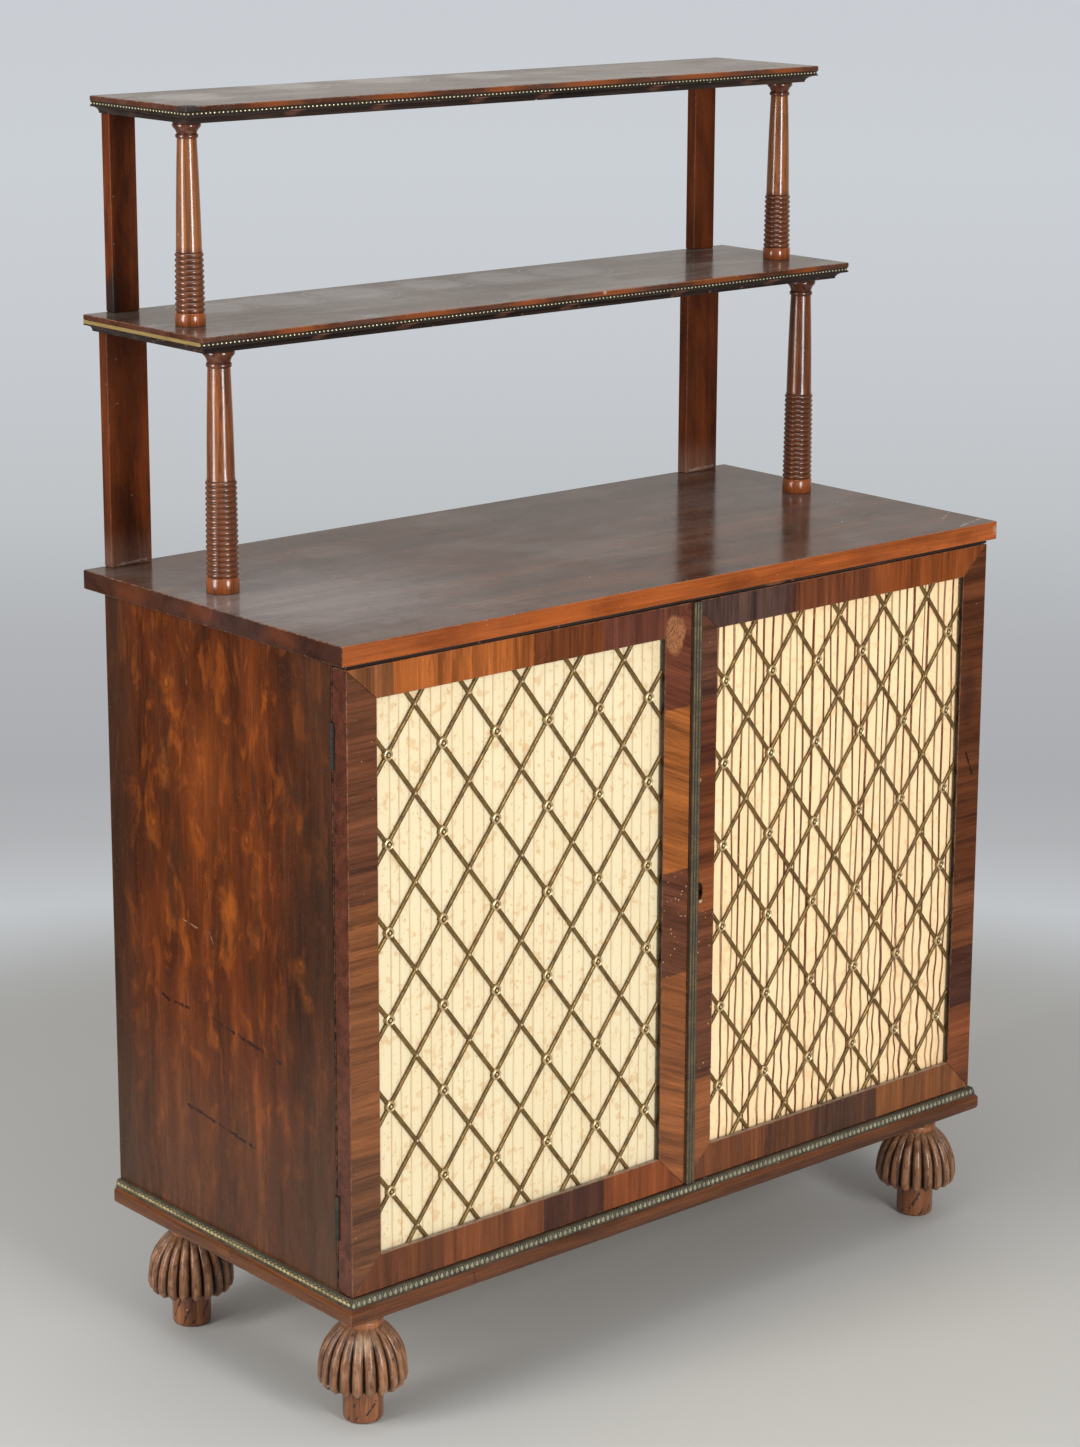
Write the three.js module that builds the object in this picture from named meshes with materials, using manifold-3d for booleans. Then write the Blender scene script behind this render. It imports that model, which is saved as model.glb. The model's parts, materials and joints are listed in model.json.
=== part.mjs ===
// Chiffonier: a low cupboard with two brass-latticed doors, under two open shelves.
// Millimetres, +Z up, front towards -Y. The origin is on the floor, in the middle of the footprint.
// Inside the case group, y = 0 is the back edge of the top, which stands against the wall.

import * as THREE from 'three';
import { mergeVertices } from 'three/addons/utils/BufferGeometryUtils.js';
import Module from 'manifold-3d';

const wasm = await Module();
wasm.setup();

// Shared clearances
const glueLine = 0.1;
const runningGap = 0.3;
const cutOverrun = 2;
const boardArris = 0.8;

// Top and case
const topWidth = 914;
const topDepth = 438;
const topThickness = 20;
const counterHeight = 820;
const sideOverhang = 9;
const frontOverhang = 6;
const backOverhang = 25;
const sideThickness = 18;
const floorThickness = 20;
const backThickness = 12;
const backBoards = 6;
const backGrooveDepth = 2;
const backGrooveWidth = 4;

// Frieze rail above the doors
const friezeLip = 4.4;
const friezeSetBack = 1;
const friezeRailHeight = 24;
const friezeRailDepth = 38;
const friezeTongueLap = 4;

// Plinth moulding and its brass strip
const footHeight = 127;
const plinthHeight = 18.5;
const plinthProjection = 8.5;
const plinthRound = 5;
const plinthBeadHeight = 8;
const plinthBeadProjection = 7;
const plinthArcShare = 0.3;
const plinthHeadShare = 0.5;

// The section of the strip on the plinth, as shares of how far it stands out and of its height
const plinthBeadShares = [[0, 0], [1, 0], [1, 0.3], [0.8, 0.75], [0.3, 1], [0, 1]];

// Shelf inside the cupboard
const innerShelfHeight = 456;
const innerShelfThickness = 14;
const innerShelfSetBack = 24;
const bearerSection = 18;
const bearerSetBack = 30;

// Doors
const doorThickness = 22;
const doorGap = 1;
const doorFootGap = 1.5;
const doorHeadGap = 1;
const meetingGap = 1.2;
const stileWidth = 36.5;
const topRailWidth = 33;
const bottomRailWidth = 37;
const lipDepth = 5;
const rebateShare = 0.27;

// Lattice of ridged rods with a rosette at every other crossing
const rosetteColumns = 6;
const rosetteRows = 6;
const rosetteMarginX = 17;
const rosetteMarginZ = 60;
const rodWidth = 5;
const rodThickness = 3;
const rodLap = 6.5;
const rosetteRadius = 6.4;
const rosetteRim = 4;
const rosetteHeight = 5.6;
const rosetteSides = 6;

// Pleated silk and the fillet frame that holds it in the rebate
const leftPleats = 29;
const rightPleats = 32;
const pleatDepth = 0.8;
const silkThickness = 0.7;
const silkGap = 0.3;
const silkLap = 7;
const pleatFoldShare = 0.12;
const filletDepth = 8;
const filletWidth = 14;
const filletClearance = 0.5;

// Reeded brass astragal on the right door
const astragalWidth = 11.6;
const astragalThickness = 3.5;
const astragalBase = 1.6;
const astragalReeds = 3;
const reedValleyShare = 0.35;
const reedArcShare = 0.15;
const reedShoulderShare = 0.7;

// Butt hinges
const hingeLength = 46;
const hingeInset = 55;
const hingeLeafWidth = 14;
const hingeLeafThickness = 1.6;
const hingeKnuckleRadius = 3;
const hingePinRadius = 1.4;
const hingeFaceGap = 0.2;
const hingeSides = 10;
const hingePlateGap = 0.6;
const hingeTongueLap = 0.3;
const tongueLapShare = 0.6;

// Lock of the right door
const keyholeInset = 17;
const keyholeHeight = 482;
const keyholeRadius = 3.2;
const keyholeSlotWidth = 3.4;
const keyholeSlotDrop = 12;
const lockWidth = 25;
const lockHeight = 46;
const lockDepth = 11.5;
const lockBelowKeyhole = 21;
const selvedgeThickness = 1.4;
const selvedgeHeight = 60;
const lockBoltHeight = 10;
const lockBoltThickness = 4;
const lockBoltLength = 18;
const lockBoltRise = 8;
const lockThrow = 8;
const keyPocketDepth = 5;

// Two small bolts on the back of the left door
const boltPlateWidth = 16;
const boltPlateLength = 80;
const boltPlateThickness = 1.5;
const boltPlateInset = 8;
const boltPlateEndGap = 3;
const boltWidth = 7;
const boltThickness = 5;
const boltThrow = 12;
const keeperWidth = 13;
const keeperLength = 8;
const keeperWall = 1.8;
const keeperInset = 5;
const boltKnobRadius = 3.5;
const boltKnobLength = 9;
const boltSocketMargin = 0.6;

// Open shelves
const shelfThickness = 18;
const shelfEdge = 5.5;
const shelfBeadHeight = 3.8;
const shelfBeadDepth = 3.2;
const shelfMouldingDepth = 12.5;
const coveFoot = 1.6;
const coveSteps = 4;
const coveNoseShare = 0.9;

// Each tier: the clear height below its shelf, how far the shelf ends inside what is below, the shelf's
// depth, and its upright and column measured in from the shelf's own ends and front
const lowerTier = {
  clearHeight: 246.5, endSetBack: 8.5, shelfDepth: 208,
  uprightWidth: 50, uprightInset: 18, columnEndInset: 43, columnFrontInset: 33,
};
const upperTier = {
  clearHeight: 201.5, endSetBack: 15, shelfDepth: 167.5,
  uprightWidth: 32, uprightInset: 13, columnEndInset: 25.5, columnFrontInset: 36,
};

// The section of the strip on a shelf, as shares of its depth and height
const shelfBeadShares = [[0, 0], [0.6, 0], [1, 0.3], [1, 0.7], [0.6, 1], [0, 1]];

// Flat uprights at the back
const uprightThickness = 14;

// Ring-turned columns at the front
const columnSides = 14;
const lowerColumn = {
  baseHeight: 16.3, baseRadius: 16.8, rings: 18, ringPitch: 5.45, ringRadiusLow: 16.8,
  ringRadiusHigh: 16, grooveDepth: 2, shaftRadiusLow: 14.2, shaftRadiusHigh: 11.5, neckHeight: 5,
  neckRadius: 13, bellHeight: 7, bellRadius: 14.6, abacusHeight: 6.5, abacusRadius: 16.3,
};
const upperColumn = {
  baseHeight: 13.5, baseRadius: 15.5, rings: 11, ringPitch: 5.45, ringRadiusLow: 15.2,
  ringRadiusHigh: 14.5, grooveDepth: 1.9, shaftRadiusLow: 12.9, shaftRadiusHigh: 9.9, neckHeight: 4.5,
  neckRadius: 11.5, bellHeight: 6, bellRadius: 13, abacusHeight: 5.5, abacusRadius: 14.4,
};
const ringGrooveShare = 0.12;
const ringCrownShare = 0.62;
const neckArcShare = 0.3;
const bellArcShare = 0.2;
const abacusFootShare = 0.3;
const abacusHeadShare = 0.2;
const abacusArrisShare = 0.5;

// Gadrooned feet
const footEndInset = 42;
const footFrontInset = 16;
const footBackInset = 68;
const footLobes = 20;
const footRadius = 46.4;
const lobeDepth = 4.8;
const domeFoot = 37;
const collarRadius = 27.5;
const collarHeight = 9;
const stubRadius = 20.7;
const stubArris = 2.5;
const stubTenon = 15;
const spigotRadius = 14;
const spigotLength = 16;
const spigotClearance = 0.2;
const footSides = 16;

// The dome of the foot from its tips to the collar: radius, height and lobe depth as shares
const domeShares = [
  { radius: 0.72, height: 0.02, lobe: 0.6 },
  { radius: 0.92, height: 0.04, lobe: 0.95 },
  { radius: 1.0, height: 0.15, lobe: 1 },
  { radius: 0.91, height: 0.52, lobe: 0.85 },
  { radius: 0.755, height: 0.79, lobe: 0.55 },
  { radius: 0.6, height: 1, lobe: 0.2 },
];
const lobeTipShare = 0.75;

// Places worked out from the sizes above
const caseHalfWidth = topWidth / 2 - sideOverhang;
const innerHalfWidth = caseHalfWidth - sideThickness;
const doorFaceY = frontOverhang - topDepth;
const doorBackY = doorFaceY + doorThickness;
const caseFrontY = doorBackY + doorGap;
const caseBackY = -backOverhang;
const undersideZ = counterHeight - topThickness;
const plinthTopZ = footHeight + plinthHeight;
const floorTopZ = plinthTopZ + plinthBeadHeight;
const doorBottomZ = floorTopZ + doorFootGap;
const doorTopZ = undersideZ - friezeLip - doorHeadGap;
const friezeBottomZ = undersideZ - friezeRailHeight;
const plinthFrontY = doorFaceY - plinthProjection;
const middleShelf = shelfOver(lowerTier, topWidth, counterHeight);
const topShelf = shelfOver(upperTier, middleShelf.width, middleShelf.topHeight);
const footX = caseHalfWidth - footEndInset;
const footFrontY = caseFrontY + footFrontInset;
const footBackY = caseBackY - footBackInset;
const grilleBackY = doorFaceY + lipDepth + glueLine + rodThickness;
const silkFrontY = grilleBackY + silkGap;
const filletFrontY = silkFrontY + pleatDepth + silkThickness + glueLine;
const hingeAxisY = (doorBackY + caseFrontY) / 2;
const lockZ = keyholeHeight - lockBelowKeyhole;
const overallDepth = -plinthFrontY;

// Finishes
const finish = (color, roughness, metalness = 0) => new THREE.MeshStandardMaterial({
  color, roughness, metalness, flatShading: true,
});
const rosewood = finish(0x5b2a18, 0.35);
const polishedTop = finish(0x4a2c22, 0.22);
const turnedWood = finish(0x7a3d20, 0.35);
const carvedWood = finish(0x7d5138, 0.6);
const ebonised = finish(0x2a211d, 0.45);
const drawnPine = finish(0x9a7450, 0.75);
const brass = finish(0x8f7b4b, 0.4, 0.9);
const agedBrass = finish(0x7f8268, 0.55, 0.8);
const iron = finish(0x4c4a48, 0.5, 0.9);
const silk = finish(0xf0dfb4, 0.8);

// Solids and how they are joined and cut

// A closed geometry with shared corners and no empty triangles.
function welded(geometry) {
  const bare = geometry.clone();
  bare.deleteAttribute('normal');
  bare.deleteAttribute('uv');
  const merged = mergeVertices(bare);
  const index = Array.from(merged.index.array);
  const kept = [];
  for (let i = 0; i < index.length; i += 3) {
    const [a, b, c] = index.slice(i, i + 3);
    if (a !== b && b !== c && c !== a) kept.push(a, b, c);
  }
  merged.setIndex(kept);
  return merged;
}

function toSolid(geometry) {
  const merged = welded(geometry);
  return new wasm.Manifold(new wasm.Mesh({
    numProp: 3,
    vertProperties: new Float32Array(merged.attributes.position.array),
    triVerts: new Uint32Array(merged.index.array),
  }));
}

function toGeometry(solid) {
  const mesh = solid.getMesh();
  const geometry = new THREE.BufferGeometry();
  geometry.setAttribute('position', new THREE.BufferAttribute(new Float32Array(mesh.vertProperties), 3));
  geometry.setIndex(new THREE.BufferAttribute(new Uint32Array(mesh.triVerts), 1));
  return geometry;
}

function joined(geometries) {
  return toGeometry(geometries.map(toSolid).reduce((whole, part) => whole.add(part)));
}

function cut(geometry, cutters) {
  return toGeometry(cutters.map(toSolid).reduce((whole, part) => whole.subtract(part), toSolid(geometry)));
}

function block(xs, ys, zs) {
  const spans = [xs, ys, zs];
  const geometry = new THREE.BoxGeometry(...spans.map(([from, to]) => Math.abs(to - from)));
  geometry.translate(...spans.map(([from, to]) => (from + to) / 2));
  return geometry;
}

// An upright round bar between two heights.
function pin(x, y, [from, to], radius, sides) {
  const geometry = new THREE.CylinderGeometry(radius, radius, to - from, sides);
  geometry.rotateX(Math.PI / 2);
  geometry.translate(x, y, (from + to) / 2);
  return geometry;
}

// A turning about the upright axis, from [radius, height] points that start and end on the axis.
function turned(points, sides) {
  const geometry = new THREE.LatheGeometry(points.map(([r, z]) => new THREE.Vector2(r, z)), sides);
  geometry.rotateX(Math.PI / 2);
  return geometry;
}

// The triangles of a flat ring of points, wound the way that the ring runs.
function capTriangles(ring) {
  const normal = new THREE.Vector3();
  ring.forEach((p, i) => normal.add(p.clone().cross(ring[(i + 1) % ring.length])));
  const size = normal.toArray().map(Math.abs);
  const drop = size.indexOf(Math.max(...size));
  const flat = ring.map((p) => new THREE.Vector2(...p.toArray().filter((_, axis) => axis !== drop)));
  const sense = Math.sign(THREE.ShapeUtils.area(flat));
  return THREE.ShapeUtils.triangulateShape(flat, []).map(([a, b, c]) => {
    const turn = Math.sign(THREE.ShapeUtils.area([flat[a], flat[b], flat[c]]));
    return turn === sense ? [a, b, c] : [a, c, b];
  });
}

// A solid skinned over rings of equally many points, with flat ends.
function loft(rings) {
  const count = rings[0].length;
  const faces = [];
  for (let r = 0; r + 1 < rings.length; r += 1) {
    for (let k = 0; k < count; k += 1) {
      const a = r * count + k;
      const b = r * count + ((k + 1) % count);
      faces.push([a, b, b + count], [a, b + count, a + count]);
    }
  }
  const last = (rings.length - 1) * count;
  capTriangles(rings[0]).forEach(([a, b, c]) => faces.push([a, c, b]));
  capTriangles(rings.at(-1)).forEach(([a, b, c]) => faces.push([last + a, last + b, last + c]));
  const points = rings.flat();
  const volume = faces.reduce((sum, [a, b, c]) => (
    sum + points[a].dot(points[b].clone().cross(points[c]))), 0);
  const geometry = new THREE.BufferGeometry().setFromPoints(points);
  geometry.setIndex(faces.flatMap(([a, b, c]) => (volume > 0 ? [a, b, c] : [a, c, b])));
  return geometry;
}

// A board with softened edges all round.
function board(xs, ys, zs, arris = boardArris) {
  const level = (z, inset) => [
    new THREE.Vector3(xs[0] + inset, ys[0] + inset, z),
    new THREE.Vector3(xs[1] - inset, ys[0] + inset, z),
    new THREE.Vector3(xs[1] - inset, ys[1] - inset, z),
    new THREE.Vector3(xs[0] + inset, ys[1] - inset, z),
  ];
  return loft([level(zs[0], arris), level(zs[0] + arris, 0), level(zs[1] - arris, 0), level(zs[1], arris)]);
}

// The plan corners of a moulding that runs down one end, along the front and back up the other end.
function threeSides(halfWidth, frontY, backY) {
  return [[-halfWidth, backY], [-halfWidth, frontY], [halfWidth, frontY], [halfWidth, backY]];
}

// Rings of a moulding's section at each corner of its path: square at the ends, mitred between.
function mouldingRings(section, path, baseZ) {
  const outward = path.slice(1).map(([x, y], i) => {
    const along = new THREE.Vector2(x - path[i][0], y - path[i][1]).normalize();
    return new THREE.Vector2(along.y, -along.x);
  });
  return path.map(([x, y], i) => {
    const before = outward[Math.max(i - 1, 0)];
    const after = outward[Math.min(i, outward.length - 1)];
    const mitre = before.clone().add(after).divideScalar(1 + before.dot(after));
    return section.map(([out, up]) => new THREE.Vector3(x + mitre.x * out, y + mitre.y * out, baseZ + up));
  });
}

// Case

function topBoard() {
  return board([-topWidth / 2, topWidth / 2], [-topDepth, 0], [undersideZ, counterHeight]);
}

function hingeHeights() {
  return {
    upper: doorTopZ - hingeInset - hingeLength,
    lower: doorBottomZ + hingeInset,
  };
}

function sideBoard(side) {
  const outer = side * caseHalfWidth;
  const xs = [outer, side * innerHalfWidth].sort((a, b) => a - b);
  const slab = block(xs, [caseFrontY, caseBackY], [footHeight, undersideZ - glueLine]);
  return cut(slab, Object.values(hingeHeights()).flatMap((z) => hingeRecess(side, z, 1)));
}

function bottomBoard() {
  const half = innerHalfWidth - glueLine;
  const slab = block(
    [-half, half], [caseFrontY + glueLine, caseBackY], [floorTopZ - floorThickness, floorTopZ]);
  const top = footHeight + spigotLength + spigotClearance;
  const holes = footPlaces().map(([, x, y]) => (
    pin(x, y, [footHeight, top], spigotRadius + spigotClearance, footSides)));
  return cut(slab, [...holes, boltSocket(floorTopZ - boltThrow, floorTopZ + cutOverrun)]);
}

// The back is one panel of upright boards, with a V groove outside at each joint.
function backPanel() {
  const half = innerHalfWidth - glueLine;
  const inside = caseBackY - backThickness;
  const outline = [[-half, caseBackY]];
  for (let i = 1; i < backBoards; i += 1) {
    const x = -half + (2 * half * i) / backBoards;
    outline.push([x - backGrooveWidth / 2, caseBackY]);
    outline.push([x, caseBackY - backGrooveDepth]);
    outline.push([x + backGrooveWidth / 2, caseBackY]);
  }
  outline.push([half, caseBackY], [half, inside], [-half, inside]);
  const from = floorTopZ + glueLine;
  const shape = new THREE.Shape(outline.map(([x, y]) => new THREE.Vector2(x, y)));
  const depth = undersideZ - glueLine - from;
  const geometry = new THREE.ExtrudeGeometry(shape, { depth, bevelEnabled: false });
  geometry.translate(0, 0, from);
  return geometry;
}

// The rail under the top carries a thin lip that shows as a black line over the doors.
function friezeRail() {
  const top = undersideZ - glueLine;
  const half = innerHalfWidth - glueLine;
  const front = caseFrontY + glueLine;
  const lip = block(
    [-caseHalfWidth, caseHalfWidth], [doorFaceY + friezeSetBack, caseFrontY - glueLine],
    [undersideZ - friezeLip, top]);
  const tongue = block(
    [-half, half], [caseFrontY - friezeTongueLap, front + friezeTongueLap],
    [undersideZ - friezeLip, top]);
  const rail = block([-half, half], [front, front + friezeRailDepth], [friezeBottomZ, top]);
  const socket = boltSocket(friezeBottomZ - cutOverrun, friezeBottomZ + boltThrow);
  return cut(joined([lip, tongue, rail]), [socket]);
}

// The slot that takes the end of a bolt, open towards the door.
function boltSocket(from, to) {
  const half = boltWidth / 2 + boltSocketMargin;
  const back = doorBackY + boltPlateThickness + boltThickness + boltSocketMargin;
  return block([boltX() - half, boltX() + half], [caseFrontY - cutOverrun, back], [from, to]);
}

function innerShelf() {
  const half = innerHalfWidth - glueLine;
  const from = innerShelfHeight + glueLine;
  return board(
    [-half, half], [caseFrontY + innerShelfSetBack, caseBackY - backThickness - glueLine],
    [from, from + innerShelfThickness]);
}

function shelfBearer(side) {
  const wall = side * (innerHalfWidth - glueLine);
  const xs = [wall, wall - side * bearerSection].sort((a, b) => a - b);
  return board(
    xs, [caseFrontY + bearerSetBack, caseBackY - backThickness - glueLine],
    [innerShelfHeight - bearerSection, innerShelfHeight]);
}

// Plinth

// The moulding's section: flat back, rounded front edge above and below.
function plinthSection(back) {
  const out = plinthProjection;
  const round = plinthRound;
  return [
    [back, 0], [out - round, 0], [out - round * plinthArcShare, round * plinthArcShare], [out, round],
    [out, plinthHeight - round], [out - round * plinthArcShare, plinthHeight - round * plinthArcShare],
    [out - round * plinthHeadShare, plinthHeight], [back, plinthHeight],
  ];
}

function plinthPath() {
  return threeSides(caseHalfWidth, doorFaceY, caseBackY);
}

function plinthSide(side) {
  const rings = mouldingRings(plinthSection(glueLine), plinthPath(), footHeight);
  const run = side < 0 ? rings.slice(0, 2) : rings.slice(2);
  const front = side < 0 ? run[1] : run[0];
  front.forEach((p) => { p.y += glueLine; });
  return loft(run);
}

function plinthFront() {
  const rings = mouldingRings(plinthSection(-glueLine), plinthPath(), footHeight).slice(1, 3);
  const rail = block(
    [-caseHalfWidth, caseHalfWidth], [doorFaceY, caseFrontY - glueLine], [footHeight, floorTopZ]);
  return joined([loft(rings), rail]);
}

function plinthBeading() {
  const section = plinthBeadShares.map(([out, up]) => [
    Math.max(out * plinthBeadProjection, glueLine), up * plinthBeadHeight]);
  return loft(mouldingRings(section, plinthPath(), plinthTopZ + glueLine));
}

// Feet

function footPlaces() {
  return [
    ['front_left_foot', -footX, footFrontY], ['front_right_foot', footX, footFrontY],
    ['back_left_foot', -footX, footBackY], ['back_right_foot', footX, footBackY],
  ];
}

// A ring of the dome: crowns and grooves in turn, with the tips of the lobes hanging a little lower.
function lobedRing({ radius, height, lobe }) {
  const domeHeight = footHeight - collarHeight - domeFoot;
  return Array.from({ length: footLobes * 2 }, (_, i) => {
    const groove = i % 2 === 1;
    const angle = (Math.PI * i) / footLobes;
    const r = radius * footRadius - (groove ? lobe * lobeDepth : 0);
    const lift = groove && height < domeShares[2].height ? lobeDepth * lobeTipShare : 0;
    const z = domeFoot + height * domeHeight + lift;
    return new THREE.Vector3(r * Math.cos(angle), r * Math.sin(angle), z);
  });
}

function foot() {
  const dome = loft(domeShares.map(lobedRing));
  const neckZ = footHeight - collarHeight;
  const stub = turned([
    [0, 0], [stubRadius - stubArris, 0], [stubRadius, stubArris], [stubRadius, domeFoot + stubTenon],
    [0, domeFoot + stubTenon]], footSides);
  const collar = turned([
    [0, neckZ - stubArris], [collarRadius - stubArris, neckZ - stubArris], [collarRadius, neckZ],
    [collarRadius, footHeight - glueLine], [spigotRadius, footHeight - glueLine],
    [spigotRadius, footHeight + spigotLength], [0, footHeight + spigotLength]], footSides);
  return joined([dome, stub, collar]);
}

// Open shelves, uprights and columns

// The outer sizes of a tier's shelf, from the width and height of what the tier stands on.
function shelfOver(tier, widthBelow, heightBelow) {
  return {
    width: widthBelow - 2 * tier.endSetBack,
    depth: tier.shelfDepth,
    topHeight: heightBelow + tier.clearHeight + shelfThickness,
  };
}

// A shelf board with a full edge above and a sunk core below that the mouldings are glued to.
function shelfBoard({ width, depth, topHeight }) {
  const edgeZ = topHeight - shelfEdge;
  const inset = shelfMouldingDepth;
  const upper = board([-width / 2, width / 2], [-depth, 0], [edgeZ, topHeight]);
  const core = block(
    [inset - width / 2, width / 2 - inset], [inset - depth, 0],
    [topHeight - shelfThickness, edgeZ + boardArris]);
  return joined([upper, core]);
}

function shelfPath({ width, depth }) {
  return threeSides(width / 2 - shelfMouldingDepth, shelfMouldingDepth - depth, 0);
}

// The hollow moulding behind and below the brass strip.
function shelfCove(shelf) {
  const height = shelfThickness - shelfEdge - glueLine;
  const shoulder = shelfMouldingDepth - shelfBeadDepth - glueLine;
  const nose = height - shelfBeadHeight - 2 * glueLine;
  const reach = shelfMouldingDepth - glueLine;
  const section = [[glueLine, 0], [coveFoot, 0]];
  for (let i = 1; i <= coveSteps; i += 1) {
    const angle = (Math.PI / 2) * (i / coveSteps);
    const out = coveFoot + (reach - coveFoot) * (1 - Math.cos(angle));
    section.push([out, nose * coveNoseShare * Math.sin(angle)]);
  }
  section.push([reach, nose], [shoulder, nose], [shoulder, height], [glueLine, height]);
  return loft(mouldingRings(section, shelfPath(shelf), shelf.topHeight - shelfThickness));
}

function shelfBeading(shelf) {
  const inner = shelfMouldingDepth - shelfBeadDepth;
  const section = shelfBeadShares.map(([out, up]) => [inner + out * shelfBeadDepth, up * shelfBeadHeight]);
  const baseZ = shelf.topHeight - shelfEdge - glueLine - shelfBeadHeight;
  return loft(mouldingRings(section, shelfPath(shelf), baseZ));
}

function upright({ uprightWidth, uprightInset, clearHeight }, shelf, side, from) {
  const outer = shelf.width / 2 - uprightInset;
  const xs = [side * outer, side * (outer - uprightWidth)].sort((a, b) => a - b);
  return board(xs, [-uprightThickness, 0], [from + glueLine, from + clearHeight - glueLine]);
}

// Ring-turned base, tapered shaft, and a capital of necking, bell and abacus.
function column(c, height) {
  const points = [[0, 0], [c.baseRadius, 0], [c.baseRadius, c.baseHeight]];
  for (let i = 0; i < c.rings; i += 1) {
    const ring = THREE.MathUtils.lerp(c.ringRadiusLow, c.ringRadiusHigh, i / (c.rings - 1));
    const z = c.baseHeight + i * c.ringPitch;
    points.push([ring - c.grooveDepth, z + c.ringPitch * ringGrooveShare]);
    points.push([ring, z + c.ringPitch * ringCrownShare]);
  }
  const shaftFrom = c.baseHeight + c.rings * c.ringPitch;
  const abacusZ = height - c.abacusHeight;
  const bellZ = abacusZ - c.bellHeight;
  const neckZ = bellZ - c.neckHeight;
  points.push(
    [c.shaftRadiusLow, shaftFrom], [c.shaftRadiusHigh, neckZ],
    [c.neckRadius, neckZ + c.neckHeight * neckArcShare],
    [c.neckRadius, bellZ - c.neckHeight * neckArcShare],
    [c.shaftRadiusHigh, bellZ], [c.bellRadius, abacusZ - c.bellHeight * bellArcShare],
    [c.abacusRadius, abacusZ + c.abacusHeight * abacusFootShare],
    [c.abacusRadius, height - c.abacusHeight * abacusHeadShare],
    [c.abacusRadius - c.grooveDepth * abacusArrisShare, height], [0, height]);
  return turned(points, columnSides);
}

// Doors

// The outer and sight rectangles of one door, in the plane of its face.
function doorFrame(side) {
  const xs = [side * meetingGap / 2, side * caseHalfWidth].sort((a, b) => a - b);
  return {
    outer: { x: xs, z: [doorBottomZ, doorTopZ] },
    sight: {
      x: [xs[0] + stileWidth, xs[1] - stileWidth],
      z: [doorBottomZ + bottomRailWidth, doorTopZ - topRailWidth],
    },
  };
}

// The opening behind the lip, where the lattice and the silk lie.
function doorRebate(side) {
  const { sight } = doorFrame(side);
  return {
    x: [sight.x[0] - stileWidth * rebateShare, sight.x[1] + stileWidth * rebateShare],
    z: [sight.z[0] - bottomRailWidth * rebateShare, sight.z[1] + topRailWidth * rebateShare],
  };
}

// One mitred member of a door between two of its corners, counted anticlockwise from the bottom left.
function doorMember(side, from, to) {
  const { outer, sight } = doorFrame(side);
  const corner = (box, i) => new THREE.Vector2(box.x[i === 1 || i === 2 ? 1 : 0], box.z[i > 1 ? 1 : 0]);
  const section = [
    [0, doorFaceY], [1, doorFaceY], [1, doorFaceY + lipDepth], [1 - rebateShare, doorFaceY + lipDepth],
    [1 - rebateShare, doorBackY], [0, doorBackY],
  ];
  const along = corner(outer, to).sub(corner(outer, from)).normalize();
  const ring = (i, shift) => section.map(([share, y]) => {
    const p = corner(outer, i).lerp(corner(sight, i), share).addScaledVector(along, shift);
    return new THREE.Vector3(p.x, y, p.y);
  });
  return loft([ring(from, glueLine), ring(to, -glueLine)]);
}

function hingeStile(side) {
  const stile = side < 0 ? doorMember(side, 3, 0) : doorMember(side, 1, 2);
  return cut(stile, Object.values(hingeHeights()).flatMap((z) => hingeRecess(side, z, -1)));
}

// The left meeting stile is mortised for the lock's bolt.
function leftMeetingStile() {
  const play = runningGap;
  const y = lockBoltY();
  const z = lockZ + lockHeight - lockBoltRise - lockBoltHeight;
  return cut(doorMember(-1, 1, 2), [block(
    [-meetingGap / 2 - lockThrow - cutOverrun, cutOverrun],
    [y - lockBoltThickness / 2 - play, y + lockBoltThickness / 2 + play],
    [z - play, z + lockBoltHeight + play])]);
}

// The right meeting stile is cut for the lock's case and selvedge, and pierced by the keyhole.
function rightMeetingStile() {
  const edge = meetingGap / 2;
  const middle = lockZ + lockHeight / 2;
  const halfSelvedge = selvedgeHeight / 2 + glueLine;
  const caseCut = block(
    [edge - cutOverrun, edge + lockWidth + glueLine],
    [doorBackY - lockDepth - glueLine, doorBackY + cutOverrun],
    [lockZ - glueLine, lockZ + lockHeight + glueLine]);
  const selvedgeCut = block(
    [edge - cutOverrun, edge + selvedgeThickness + glueLine],
    [doorBackY - lockDepth - glueLine, doorBackY + cutOverrun],
    [middle - halfSelvedge, middle + halfSelvedge]);
  const pierced = keyhole(doorFaceY - cutOverrun, doorBackY);
  return cut(doorMember(1, 3, 0), [caseCut, selvedgeCut, ...pierced]);
}

function keyhole(fromY, toY) {
  const x = meetingGap / 2 + keyholeInset;
  const round = new THREE.CylinderGeometry(keyholeRadius, keyholeRadius, toY - fromY, hingeSides);
  round.translate(x, (fromY + toY) / 2, keyholeHeight);
  const half = keyholeSlotWidth / 2;
  const slot = block([x - half, x + half], [fromY, toY], [keyholeHeight - keyholeSlotDrop, keyholeHeight]);
  return [round, slot];
}

// Lattice

function rod(centre, direction, length) {
  const along = direction.clone().multiplyScalar(length / 2);
  const across = new THREE.Vector2(-direction.y, direction.x).multiplyScalar(rodWidth / 2);
  const section = [[-1, 0], [1, 0], [0, rodThickness]];
  const ring = (end) => section.map(([share, rise]) => {
    const p = centre.clone().addScaledVector(along, end).addScaledVector(across, share);
    return new THREE.Vector3(p.x, grilleBackY - rise, p.y);
  });
  return loft([ring(-1), ring(1)]);
}

function rosette(x, z) {
  const geometry = new THREE.LatheGeometry([
    new THREE.Vector2(0, 0), new THREE.Vector2(rosetteRadius, 0),
    new THREE.Vector2(rosetteRadius, rosetteRim), new THREE.Vector2(0, rosetteHeight)], rosetteSides);
  geometry.rotateX(Math.PI);
  geometry.translate(x, grilleBackY, z);
  return geometry;
}

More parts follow.
